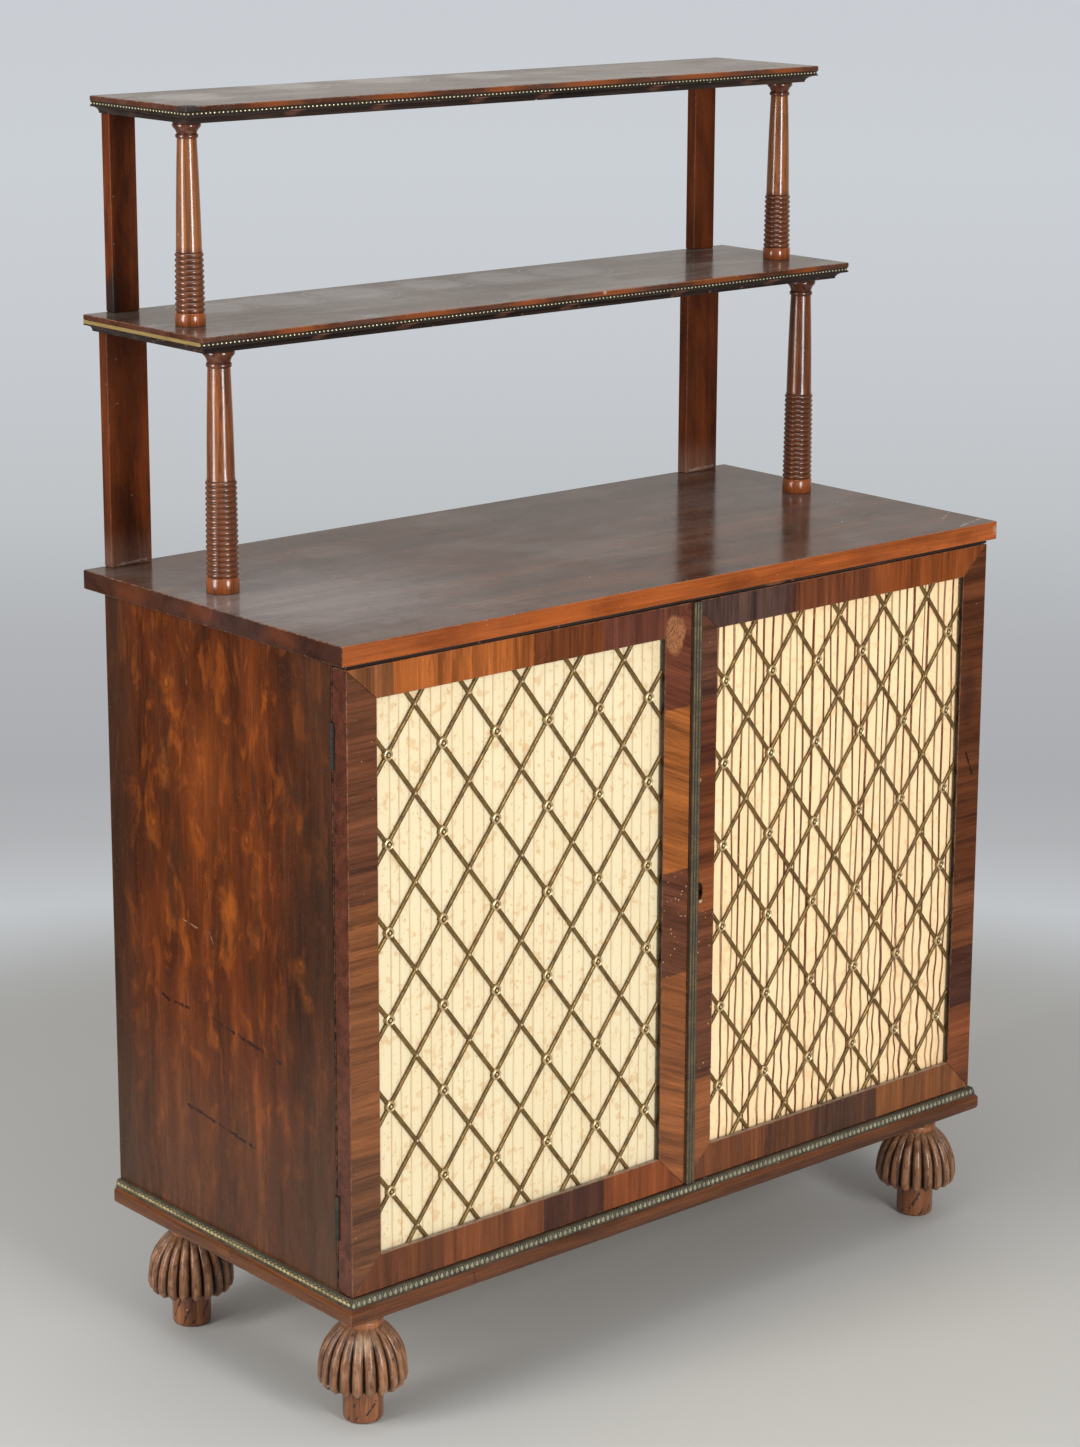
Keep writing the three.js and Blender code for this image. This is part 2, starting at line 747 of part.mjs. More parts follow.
function grille(side) {
  const { sight } = doorFrame(side);
  const middle = new THREE.Vector2((sight.x[0] + sight.x[1]) / 2, (sight.z[0] + sight.z[1]) / 2);
  const pitchX = ((sight.x[1] - sight.x[0]) / 2 - rosetteMarginX) / (rosetteColumns - 1);
  const pitchZ = ((sight.z[1] - sight.z[0]) / 2 - rosetteMarginZ) / (rosetteRows - 1);
  const length = sight.z[1] - sight.z[0];
  const lines = Math.floor((rosetteColumns - 1 + rosetteRows) / 2);
  const rods = [];
  for (let k = -lines; k <= lines; k += 1) {
    for (const lean of [-1, 1]) {
      const centre = middle.clone().add(new THREE.Vector2(k * pitchX * -lean, k * pitchZ));
      rods.push(rod(centre, new THREE.Vector2(lean * pitchX, pitchZ).normalize(), length * 2));
    }
  }
  const rosettes = [];
  for (let i = 1 - rosetteColumns; i < rosetteColumns; i += 2) {
    for (let j = 1 - rosetteRows; j < rosetteRows; j += 2) {
      rosettes.push(rosette(middle.x + i * pitchX, middle.y + j * pitchZ));
    }
  }
  const tray = block(
    [sight.x[0] - rodLap, sight.x[1] + rodLap],
    [grilleBackY - rodThickness - cutOverrun, grilleBackY + cutOverrun],
    [sight.z[0] - rodLap, sight.z[1] + rodLap]);
  const lattice = rods.map(toSolid).reduce((whole, part) => whole.add(part)).intersect(toSolid(tray));
  return toGeometry(rosettes.map(toSolid).reduce((whole, part) => whole.add(part), lattice));
}

// Silk in upright knife pleats, and the fillet frame behind it

function pleatedSilk(side, pleats) {
  const { sight } = doorFrame(side);
  const from = sight.x[0] - silkLap;
  const pitch = (sight.x[1] + silkLap - from) / pleats;
  const fold = [];
  for (let i = 0; i < pleats; i += 1) {
    fold.push([from + pitch * i, silkFrontY + pleatDepth]);
    fold.push([from + pitch * (i + pleatFoldShare), silkFrontY]);
  }
  fold.push([from + pitch * pleats, silkFrontY + pleatDepth]);
  const back = fold.map(([x, y]) => [x, y + silkThickness]).reverse();
  const ring = (z) => [...fold, ...back].map(([x, y]) => new THREE.Vector3(x, y, z));
  return loft([ring(sight.z[0] - silkLap), ring(sight.z[1] + silkLap)]);
}

function silkFrame(side) {
  const rebate = doorRebate(side);
  const inset = ([from, to], by) => [from + by, to - by];
  const ys = [filletFrontY, filletFrontY + filletDepth];
  const outer = block(inset(rebate.x, filletClearance), ys, inset(rebate.z, filletClearance));
  const reach = filletClearance + filletWidth;
  return cut(outer, [block(inset(rebate.x, reach), inset(ys, -cutOverrun), inset(rebate.z, reach))]);
}

// Astragal: a flat strip with reeds along its face
function astragal() {
  const from = meetingGap / 2 + glueLine;
  const face = doorFaceY - glueLine;
  const pitch = astragalWidth / astragalReeds;
  const outline = [[from, face], [from, face - astragalBase]];
  for (let i = 0; i < astragalReeds; i += 1) {
    const x = from + pitch * i;
    const rise = astragalThickness - astragalBase;
    const shoulder = face - astragalBase - rise * reedShoulderShare;
    outline.push([x + pitch * reedArcShare, shoulder], [x + pitch / 2, face - astragalThickness]);
    outline.push([x + pitch * (1 - reedArcShare), shoulder]);
    if (i + 1 < astragalReeds) outline.push([x + pitch, face - astragalBase - rise * reedValleyShare]);
  }
  outline.push([from + astragalWidth, face - astragalBase], [from + astragalWidth, face]);
  const ring = (z) => outline.map(([x, y]) => new THREE.Vector3(x, y, z));
  return loft([ring(doorBottomZ + glueLine), ring(doorTopZ - glueLine)]);
}

// Hinges. The case leaf carries the outer knuckles and the pin, the door leaf the middle knuckle.

function hingeAxisX(side) {
  return side * caseHalfWidth;
}

// The pocket for one leaf and its knuckles; towards = 1 cuts the case, -1 the door.
function hingeRecess(side, z, towards) {
  const x = hingeAxisX(side);
  const deep = hingeAxisY + towards * (hingeFaceGap + hingeLeafThickness + glueLine);
  const ends = [z - glueLine, z + hingeLength + glueLine];
  return [
    block([x + side * cutOverrun, x - side * (hingeLeafWidth + glueLine)], [hingeAxisY, deep], ends),
    pin(x, hingeAxisY, ends, hingeKnuckleRadius + runningGap, hingeSides),
  ];
}

function hingeLeaf(side, z, towards) {
  const x = hingeAxisX(side);
  const third = hingeLength / 3;
  const faces = [hingeFaceGap, hingeFaceGap + hingeLeafThickness].map((v) => hingeAxisY + towards * v);
  const plateEdge = hingeKnuckleRadius + hingePlateGap;
  const plate = block([x - side * plateEdge, x - side * hingeLeafWidth], faces, [z, z + hingeLength]);
  const outer = towards > 0;
  const spans = outer
    ? [[z, z + third], [z + hingeLength - third, z + hingeLength]]
    : [[z + third + runningGap, z + hingeLength - third - runningGap]];
  const tongue = [x - side * hingeKnuckleRadius * tongueLapShare, x - side * (plateEdge + hingeTongueLap)];
  const tongues = spans.map((span) => block(tongue, faces, span));
  const knuckles = spans.map((span) => pin(x, hingeAxisY, span, hingeKnuckleRadius, hingeSides));
  const leaf = joined([plate, ...tongues, ...knuckles]);
  const shank = (radius, over) => (
    pin(x, hingeAxisY, [z - over, z + hingeLength + over], radius, hingeSides));
  if (outer) return joined([leaf, shank(hingePinRadius, 0)]);
  return cut(leaf, [shank(hingePinRadius + runningGap, cutOverrun)]);
}

// Lock

function lockBoltY() {
  return doorBackY - lockDepth / 2;
}

function lockCase() {
  const edge = meetingGap / 2;
  const middle = lockZ + lockHeight / 2;
  const ys = [doorBackY - lockDepth, doorBackY];
  const body = block([edge, edge + lockWidth], ys, [lockZ, lockZ + lockHeight]);
  const selvedge = block(
    [edge, edge + selvedgeThickness], ys, [middle - selvedgeHeight / 2, middle + selvedgeHeight / 2]);
  const boltZ = lockZ + lockHeight - lockBoltRise - lockBoltHeight;
  const reach = edge + lockBoltLength + runningGap;
  const y = lockBoltY();
  const channel = block(
    [edge - cutOverrun, reach],
    [y - lockBoltThickness / 2 - runningGap, y + lockBoltThickness / 2 + runningGap],
    [boltZ - runningGap, boltZ + lockBoltHeight + runningGap]);
  return cut(joined([body, selvedge]), [channel, ...keyhole(doorFaceY, ys[0] + keyPocketDepth)]);
}

function lockBolt() {
  const y = lockBoltY();
  const z = lockZ + lockHeight - lockBoltRise - lockBoltHeight;
  const from = meetingGap / 2;
  return board(
    [from, from + lockBoltLength], [y - lockBoltThickness / 2, y + lockBoltThickness / 2],
    [z, z + lockBoltHeight], runningGap);
}

// Bolts on the back of the left meeting stile

function boltX() {
  return -meetingGap / 2 - boltPlateInset - boltPlateWidth / 2;
}

// The plate's end nearest the bolt's mouth, at the head or the foot of the door.
function boltPlateSpan(atHead) {
  const end = atHead ? friezeBottomZ - boltPlateEndGap : floorTopZ + boltPlateEndGap;
  return atHead ? [end - boltPlateLength, end] : [end, end + boltPlateLength];
}

function boltPlate(atHead) {
  const span = boltPlateSpan(atHead);
  const face = doorBackY + glueLine;
  const seat = face + boltPlateThickness;
  const x = boltX();
  const plate = block([x - boltPlateWidth / 2, x + boltPlateWidth / 2], [face, seat], span);
  const starts = [span[0] + keeperInset, span[1] - keeperInset - keeperLength];
  const top = seat + boltThickness + runningGap + keeperWall;
  const keepers = starts.map((z) => block(
    [x - keeperWidth / 2, x + keeperWidth / 2], [face, top], [z, z + keeperLength]));
  const half = boltWidth / 2 + runningGap;
  const channel = block(
    [x - half, x + half], [seat, seat + boltThickness + 2 * runningGap],
    [span[0] - cutOverrun, span[1] + cutOverrun]);
  return cut(joined([plate, ...keepers]), [channel]);
}

function slidingBolt(atHead) {
  const span = boltPlateSpan(atHead);
  const seat = doorBackY + glueLine + boltPlateThickness + runningGap;
  const x = boltX();
  const tail = boltThrow - keeperInset;
  const zs = atHead ? [span[0] - tail, span[1]] : [span[0], span[1] + tail];
  const bar = block([x - boltWidth / 2, x + boltWidth / 2], [seat, seat + boltThickness], zs);
  const knob = new THREE.CylinderGeometry(boltKnobRadius, boltKnobRadius, boltKnobLength, hingeSides);
  knob.translate(x, seat + (boltThickness + boltKnobLength) / 2, (zs[0] + zs[1]) / 2);
  return joined([bar, knob]);
}

// Assembly

const chiffonier = new THREE.Group();
const carcase = new THREE.Group();
carcase.position.y = overallDepth / 2;
chiffonier.add(carcase);

function put(group, name, geometry, material, place = [0, 0, 0]) {
  const mesh = new THREE.Mesh(welded(geometry), material);
  mesh.name = name;
  mesh.position.set(...place);
  group.add(mesh);
}

function addCase() {
  put(carcase, 'top_board', topBoard(), polishedTop);
  put(carcase, 'bottom_board', bottomBoard(), drawnPine);
  put(carcase, 'back_panel', backPanel(), drawnPine);
  put(carcase, 'frieze_rail', friezeRail(), ebonised);
  put(carcase, 'inner_shelf', innerShelf(), drawnPine);
  put(carcase, 'plinth_front', plinthFront(), rosewood);
  put(carcase, 'plinth_beading', plinthBeading(), agedBrass);
  for (const [side, word] of [[-1, 'left'], [1, 'right']]) {
    put(carcase, `${word}_side`, sideBoard(side), rosewood);
    put(carcase, `${word}_shelf_bearer`, shelfBearer(side), drawnPine);
    put(carcase, `plinth_${word}`, plinthSide(side), rosewood);
  }
  for (const [name, x, y] of footPlaces()) put(carcase, name, foot(), carvedWood, [x, y, 0]);
}

function addShelves() {
  for (const [word, shelf] of [['middle', middleShelf], ['top', topShelf]]) {
    put(carcase, `${word}_shelf`, shelfBoard(shelf), polishedTop);
    put(carcase, `${word}_shelf_cove`, shelfCove(shelf), ebonised);
    put(carcase, `${word}_shelf_beading`, shelfBeading(shelf), brass);
  }
  const tiers = [
    ['lower', lowerTier, middleShelf, lowerColumn, counterHeight],
    ['upper', upperTier, topShelf, upperColumn, middleShelf.topHeight],
  ];
  for (const [level, tier, shelf, turning, from] of tiers) {
    const shaft = column(turning, tier.clearHeight - 2 * glueLine);
    const columnX = shelf.width / 2 - tier.columnEndInset;
    const columnY = tier.columnFrontInset - shelf.depth;
    for (const [side, word] of [[-1, 'left'], [1, 'right']]) {
      put(carcase, `${level}_${word}_upright`, upright(tier, shelf, side, from), rosewood);
      const place = [side * columnX, columnY, from + glueLine];
      put(carcase, `${level}_${word}_column`, shaft, turnedWood, place);
    }
  }
}

function addDoor(side, word, pleats) {
  const door = new THREE.Group();
  carcase.add(door);
  const meeting = side < 0 ? leftMeetingStile() : rightMeetingStile();
  put(door, `${word}_door_hinge_stile`, hingeStile(side), rosewood);
  put(door, `${word}_door_meeting_stile`, meeting, rosewood);
  put(door, `${word}_door_top_rail`, doorMember(side, 2, 3), rosewood);
  put(door, `${word}_door_bottom_rail`, doorMember(side, 0, 1), rosewood);
  put(door, `${word}_grille`, grille(side), brass);
  put(door, `${word}_silk`, pleatedSilk(side, pleats), silk);
  put(door, `${word}_silk_frame`, silkFrame(side), drawnPine);
  for (const [level, z] of Object.entries(hingeHeights())) {
    put(carcase, `${word}_${level}_hinge_case_leaf`, hingeLeaf(side, z, 1), brass);
    put(door, `${word}_${level}_hinge_door_leaf`, hingeLeaf(side, z, -1), brass);
  }
  return door;
}

function addFittings(leftDoor, rightDoor) {
  put(rightDoor, 'astragal', astragal(), agedBrass);
  put(rightDoor, 'lock_case', lockCase(), iron);
  put(rightDoor, 'lock_bolt', lockBolt(), brass);
  for (const [word, atHead] of [['top', true], ['bottom', false]]) {
    put(leftDoor, `${word}_bolt_plate`, boltPlate(atHead), brass);
    put(leftDoor, `${word}_bolt`, slidingBolt(atHead), brass);
  }
}

addCase();
addShelves();
addFittings(addDoor(-1, 'left', leftPleats), addDoor(1, 'right', rightPleats));

export default chiffonier;
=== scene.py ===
"""A chiffonier: worn rosewood case on carved feet, brass lattice over silk, two open shelves on turned columns."""

import json
import logging
import math
from collections.abc import Callable, Iterable, Sequence
from dataclasses import dataclass, replace
from enum import Enum
from typing import Any

import bmesh
import bpy
import numpy as np
from mathutils import Matrix, Vector

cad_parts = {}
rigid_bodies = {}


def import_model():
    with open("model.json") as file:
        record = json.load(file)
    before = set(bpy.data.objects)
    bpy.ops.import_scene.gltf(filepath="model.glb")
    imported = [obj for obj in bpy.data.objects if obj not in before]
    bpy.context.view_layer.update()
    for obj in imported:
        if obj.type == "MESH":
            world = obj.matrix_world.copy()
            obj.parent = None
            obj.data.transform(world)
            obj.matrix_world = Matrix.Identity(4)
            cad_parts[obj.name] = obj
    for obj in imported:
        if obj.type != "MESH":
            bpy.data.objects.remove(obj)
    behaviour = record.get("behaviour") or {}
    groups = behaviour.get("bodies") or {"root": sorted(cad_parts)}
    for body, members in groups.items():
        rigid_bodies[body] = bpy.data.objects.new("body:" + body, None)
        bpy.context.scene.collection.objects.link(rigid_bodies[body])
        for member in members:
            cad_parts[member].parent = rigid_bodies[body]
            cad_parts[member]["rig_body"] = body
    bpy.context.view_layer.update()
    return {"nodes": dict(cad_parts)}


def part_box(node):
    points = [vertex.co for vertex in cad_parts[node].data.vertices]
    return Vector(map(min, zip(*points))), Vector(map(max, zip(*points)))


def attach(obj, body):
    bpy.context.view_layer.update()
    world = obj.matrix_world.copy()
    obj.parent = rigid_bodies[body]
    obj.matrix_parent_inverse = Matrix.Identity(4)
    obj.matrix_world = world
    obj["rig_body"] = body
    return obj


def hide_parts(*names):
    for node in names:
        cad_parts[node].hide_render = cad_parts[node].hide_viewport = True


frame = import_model()
log = logging.getLogger("chiffonier")

MM = 0.001
RGB = tuple[float, float, float]
Place = tuple[float, float, float]
Socket = bpy.types.NodeSocket


# Shader trees written as sums

class Graph:
    """A node tree that is written as sums and mixes instead of nodes and links."""

    def __init__(self, tree: bpy.types.NodeTree) -> None:
        """Args: tree: the node tree to write in."""
        self.tree = tree

    def feed(self, socket: Socket, value: Any) -> None:
        """Links or sets one input.

        Args:
            socket: the input.
            value: a socket to link, or a plain value; a colour of three shares gets its alpha.
        """
        if isinstance(value, bpy.types.NodeSocket):
            self.tree.links.new(value, socket)
        elif socket.type == "RGBA" and len(value) == 3:
            socket.default_value = (*value, 1.0)
        else:
            socket.default_value = value

    def add(self, kind: str, inputs: dict[Any, Any] | None = None, **settings: Any) -> bpy.types.Node:
        """Makes a node.

        Args:
            kind: the node's type name.
            inputs: values or sockets by input name or number.
            settings: the node's own settings.

        Returns:
            The node.
        """
        node = self.tree.nodes.new(kind)
        for key, value in settings.items():
            setattr(node, key, value)
        for key, value in (inputs or {}).items():
            self.feed(node.inputs[key], value)
        return node

    def math(self, operation: str, *values: Any, clamp: bool = False) -> Socket:
        """One Math node's result."""
        return self.add("ShaderNodeMath", dict(enumerate(values)), operation=operation, use_clamp=clamp).outputs[0]

    def vector(self, operation: str, *values: Any) -> Socket:
        """One Vector Math node's result, a number where the operation gives a number."""
        node = self.add("ShaderNodeVectorMath", dict(enumerate(values)), operation=operation)
        return node.outputs[1 if operation in ("LENGTH", "DISTANCE", "DOT_PRODUCT") else 0]

    def times(self, first: Any, second: Any) -> Socket:
        """Two numbers multiplied."""
        return self.math("MULTIPLY", first, second)

    def less(self, first: Any, second: Any) -> Socket:
        """The first number without the second."""
        return self.math("SUBTRACT", first, second)

    def each(self, place: Any, shares: Any) -> Socket:
        """A vector with each coordinate multiplied by its own share."""
        return self.vector("MULTIPLY", place, shares)

    def normal(self) -> Socket:
        """The way that the surface looks."""
        return self.add("ShaderNodeNewGeometry").outputs["Normal"]

    def attribute(self, name: str) -> Socket:
        """A value that the mesh holds for each point."""
        return self.add("ShaderNodeAttribute", attribute_name=name).outputs["Fac"]

    def scaled(self, value: Any, share: Any) -> Socket:
        """A vector times a number."""
        return self.add("ShaderNodeVectorMath", {0: value, 3: share}, operation="SCALE").outputs[0]

    def mix(self, share: Any, first: Any, second: Any, blend: str = "MIX") -> Socket:
        """A colour between two others, by share."""
        node = self.add("ShaderNodeMix", {0: share, 6: first, 7: second}, data_type="RGBA", blend_type=blend)
        return node.outputs[2]

    def span(self, value: Any, low: Any, high: Any, to_low: Any = 0.0, to_high: Any = 1.0) -> Socket:
        """A smooth step of value from low to high.

        Args:
            value: what is measured.
            low: where the step starts.
            high: where it ends.
            to_low: the result below the step.
            to_high: the result above it.

        Returns:
            The stepped value.
        """
        node = self.add("ShaderNodeMapRange", {0: value, 1: low, 2: high, 3: to_low, 4: to_high})
        node.interpolation_type = "SMOOTHSTEP"
        return node.outputs[0]

    def noise(self, place: Any, scale: Any = 1.0, detail: float = 2.0, rough: float = 0.5, bend: float = 0.0) -> Socket:
        """Perlin noise, about 0 to 1 with its middle at 0.5."""
        inputs = {"Vector": place, "Scale": scale, "Detail": detail, "Roughness": rough, "Distortion": bend}
        return self.add("ShaderNodeTexNoise", inputs).outputs[0]

    def uneven(self, *settings: Any) -> Socket:
        """Noise with its middle at nothing."""
        return self.less(self.noise(*settings), 0.5)

    def use(self, tree: bpy.types.NodeTree, **inputs: Any) -> bpy.types.Node:
        """Places a shared group and feeds it; an underscore in a name stands for a space.

        Args:
            tree: the shared group.
            inputs: values and sockets for its inputs.

        Returns:
            The group's node.
        """
        node = self.add("ShaderNodeGroup", node_tree=tree)
        for key, value in inputs.items():
            self.feed(node.inputs[key.replace("_", " ")], value)
        return node


Outs = dict[str, Socket]
Drawing = Callable[[Graph, Any], Outs]
KINDS = {"VALUE": "NodeSocketFloat", "VECTOR": "NodeSocketVector", "RGBA": "NodeSocketColor"}


@dataclass
class Group:
    """A shader node group, which is drawn the first time that a finish asks for it."""

    name: str
    inputs: dict[str, Any]
    draw: Drawing
    tree: bpy.types.NodeTree | None = None

    def __call__(self) -> bpy.types.NodeTree:
        """Draws the group if need be.

        Returns:
            The group's node tree.
        """
        if self.tree is None:
            self.tree = bpy.data.node_groups.new(self.name, "ShaderNodeTree")
            for label, value in self.inputs.items():
                kind = "VALUE" if isinstance(value, float) else "VECTOR" if len(value) == 3 else "RGBA"
                self.socket(label, "INPUT", kind).default_value = value
            graph = Graph(self.tree)
            results = self.draw(graph, graph.add("NodeGroupInput").outputs)
            for label, result in results.items():
                self.socket(label, "OUTPUT", result.type)
            graph.add("NodeGroupOutput", results)
        return self.tree

    def socket(self, label: str, way: str, kind: str) -> Any:
        """A new input or output of the group."""
        return self.tree.interface.new_socket(name=label, in_out=way, socket_type=KINDS[kind])


def shared(name: str, **inputs: Any) -> Callable[[Drawing], Group]:
    """Makes a shader group of the function below it; an input's default is a number, a vector, or a colour of four."""
    return lambda draw: Group(name, inputs, draw)


@shared("wood figure", Place=(0, 0, 0), Seed=0.0, Band=16.0, Contrast=3.4, Pores=0.5, Cloud=1.6, Veins=0.6,
        Dark=(0.05, 0.02, 0.01, 1), Middle=(0.12, 0.04, 0.02, 1), Light=(0.25, 0.09, 0.03, 1))
def wood_figure(g: Graph, i: Any) -> Outs:
    """Long grain, broad bands and open pores, with the grain along X, in millimetres.

    Args:
        g: the group's graph.
        i: its inputs by name.

    Returns:
        Its outputs by name.
    """
    moved = g.vector("ADD", i["Place"], g.scaled((317.0, 173.0, 91.0), i["Seed"]))
    def stretched(along: float, across: float) -> Socket:
        """The place, drawn out along the grain."""
        return g.each(moved, (1 / along, 1 / across, 1 / across))
    wander = g.noise(stretched(210, 70), 1.0, 1.0)
    across = g.math("DIVIDE", 1.0, i["Band"])
    narrow = g.add("ShaderNodeCombineXYZ", {0: 1 / 340, 1: across, 2: across}).outputs[0]
    sway = g.scaled((0.0, 1.1, 0.7), wander)
    broad = g.noise(g.vector("ADD", g.each(moved, narrow), sway), 1.0, 4.0, 0.6, 0.5)
    fine = g.noise(stretched(70, 1.7), 1.0, 3.0, 0.6)
    thread = g.noise(stretched(22, 0.5), 1.0, 2.0)
    pore = g.span(g.noise(stretched(7, 0.33), 1.0, 1.0), 0.62, 0.72)
    cloud = g.noise(stretched(150, 55), 1.0, 4.0, 0.55, 0.4)
    crooked = g.math("ABSOLUTE", g.uneven(stretched(190, 9), 1.0, 3.0, 0.55, 0.6))
    vein = g.less(1.0, g.span(crooked, 0.004, 0.028))
    vein = g.times(vein, g.span(g.noise(stretched(120, 40), 1.0, 1.0), 0.45, 0.62))
    ribs = g.math("MULTIPLY_ADD", broad, 0.62, g.times(fine, 0.38))
    tone = g.math("MULTIPLY_ADD", g.less(ribs, 0.5), i["Contrast"], 0.5, clamp=True)
    low = g.mix(g.span(tone, 0.05, 0.5), i["Dark"], i["Middle"])
    body = g.mix(g.span(tone, 0.48, 0.95), low, i["Light"])
    patchy = g.times(g.less(cloud, 0.5), i["Cloud"])
    shade = g.math("MAXIMUM", g.math("ADD", patchy, g.math("MULTIPLY_ADD", thread, 0.4, 0.8)), 0.22)
    body = g.mix(1.0, body, g.add("ShaderNodeCombineXYZ", {0: shade, 1: shade, 2: shade}).outputs[0], "MULTIPLY")
    body = g.mix(g.times(vein, i["Veins"]), body, i["Dark"])
    body = g.mix(g.times(pore, i["Pores"]), body, (0.012, 0.006, 0.004))
    height = g.less(g.times(fine, 0.35), g.times(pore, i["Pores"]))
    clear = g.less(1.0, g.math("MAXIMUM", g.times(vein, i["Veins"]), g.times(pore, 0.6)))
    return {"Colour": body, "Tone": g.times(tone, clear), "Height": height}


@shared("band mask", Place=(0, 0, 0), Axis=(1, 0, 0), Start=0.0, Stop=1.0, Soft=1.0, Waver=2.0)
def band_mask(g: Graph, i: Any) -> Outs:
    """The stretch of a coordinate between two values, with an uneven edge.

    Args:
        g: the group's graph.
        i: its inputs by name.

    Returns:
        Its outputs by name.
    """
    uneven = g.times(g.uneven(i["Place"], 0.09, 3.0), i["Waver"])
    along = g.math("ADD", g.vector("DOT_PRODUCT", i["Place"], i["Axis"]), uneven)
    half = g.times(g.less(i["Stop"], i["Start"]), 0.5)
    off = g.math("ABSOLUTE", g.less(along, g.math("ADD", i["Start"], half)))
    inside = g.less(half, off)
    return {"Mask": g.span(inside, g.times(i["Soft"], -1.0), i["Soft"])}


@shared("round mask", Place=(0, 0, 0), Centre=(0, 0, 0), Weights=(1, 1, 1), Radius=40.0, Soft=0.5, Rim=2.0, Waver=6.0)
def round_mask(g: Graph, i: Any) -> Outs:
    """A round patch and the ring at its rim, flattened by the weights of the three directions.

    Args:
        g: the group's graph.
        i: its inputs by name.

    Returns:
        Its outputs by name.
    """
    away = g.each(g.vector("SUBTRACT", i["Place"], i["Centre"]), i["Weights"])
    uneven = g.uneven(i["Place"], 0.06, 3.0)
    far = g.math("MULTIPLY_ADD", uneven, i["Waver"], g.vector("LENGTH", away))
    patch = g.span(far, i["Radius"], g.times(i["Radius"], g.less(1.0, i["Soft"])))
    rim = g.math("ABSOLUTE", g.less(far, i["Radius"]))
    ring = g.less(1.0, g.span(rim, 0.0, i["Rim"]))
    return {"Patch": patch, "Ring": ring}


@shared("stroke mask", Place=(0, 0, 0), Start=(0, 0, 0), End=(1, 0, 0), Width=1.0, Waver=0.0, Broken=0.2)
def stroke_mask(g: Graph, i: Any) -> Outs:
    """A line between two places, as a scratch or a crack makes it.

    Args:
        g: the group's graph.
        i: its inputs by name.

    Returns:
        Its outputs by name.
    """
    run = g.vector("SUBTRACT", i["End"], i["Start"])
    off = g.vector("SUBTRACT", i["Place"], i["Start"])
    share = g.math("DIVIDE", g.vector("DOT_PRODUCT", off, run), g.vector("DOT_PRODUCT", run, run), clamp=True)
    near = g.scaled(run, share)
    waver = g.times(g.uneven(i["Place"], 0.12, 3.0), i["Waver"])
    far = g.math("ABSOLUTE", g.math("ADD", g.vector("DISTANCE", off, near), waver))
    line = g.less(1.0, g.span(far, g.times(i["Width"], 0.3), i["Width"]))
    gaps = g.span(g.noise(i["Place"], 0.16, 2.0), g.less(i["Broken"], 0.06), i["Broken"])
    return {"Mask": g.times(line, gaps)}


@shared("fleck mask", Place=(0, 0, 0), Pitch=12.0, Size=0.3, Share=0.2)
def fleck_mask(g: Graph, i: Any) -> Outs:
    """Scattered chips: small rounded cells, of which only a share shows.

    Args:
        g: the group's graph.
        i: its inputs by name.

    Returns:
        Its outputs by name.
    """
    near = g.scaled(i["Place"], g.math("DIVIDE", 1.0, i["Pitch"]))
    cell = g.add("ShaderNodeTexVoronoi", {"Vector": near, "Scale": 1.0})
    chosen = g.add("ShaderNodeSeparateColor", {0: cell.outputs["Color"]}).outputs
    size = g.times(chosen[1], i["Size"])
    disc = g.math("LESS_THAN", cell.outputs["Distance"], size)
    return {"Mask": g.times(disc, g.math("LESS_THAN", chosen[0], i["Share"]))}


@shared("edge mask", Place=(0, 0, 0), Low=(0, 0, 0), High=(1, 1, 1), Width=1.0)
def edge_mask(g: Graph, i: Any) -> Outs:
    """Wear along the edges of a box: the second smallest distance to its faces is the distance to an edge.

    Args:
        g: the group's graph.
        i: its inputs by name.

    Returns:
        Its outputs by name.
    """
    low = g.vector("SUBTRACT", i["Place"], i["Low"])
    high = g.vector("SUBTRACT", i["High"], i["Place"])
    near = g.add("ShaderNodeSeparateXYZ", {0: g.vector("MINIMUM", low, high)}).outputs
    first = g.math("MINIMUM", near[0], near[1])
    second = g.math("MAXIMUM", near[0], near[1])
    edge = g.math("MAXIMUM", first, g.math("MINIMUM", second, near[2]))
    uneven = g.times(g.noise(i["Place"], 0.14, 4.0, 0.7), 2.0)
    width = g.times(i["Width"], g.math("POWER", uneven, 3.0))
    return {"Mask": g.less(1.0, g.span(edge, g.times(width, 0.4), width)), "Edge": edge}


@shared("dust mask", Place=(0, 0, 0), Amount=0.2)
def dust_mask(g: Graph, i: Any) -> Outs:
    """Pale dust that has settled on faces that look up, thinner where it has been wiped.

    Args:
        g: the group's graph.
        i: its inputs by name.

    Returns:
        Its outputs by name.
    """
    up = g.add("ShaderNodeSeparateXYZ", {0: g.normal()}).outputs[2]
    cloud = g.span(g.noise(i["Place"], 0.02, 5.0, 0.7), 0.3, 0.75)
    grit = g.span(g.noise(i["Place"], 0.9, 2.0), 0.45, 0.8)
    amount = g.math("MULTIPLY_ADD", grit, 0.35, g.times(cloud, 0.65))
    return {"Mask": g.times(g.times(g.span(up, 0.3, 0.95), amount), i["Amount"])}


# Marks that a finish can carry

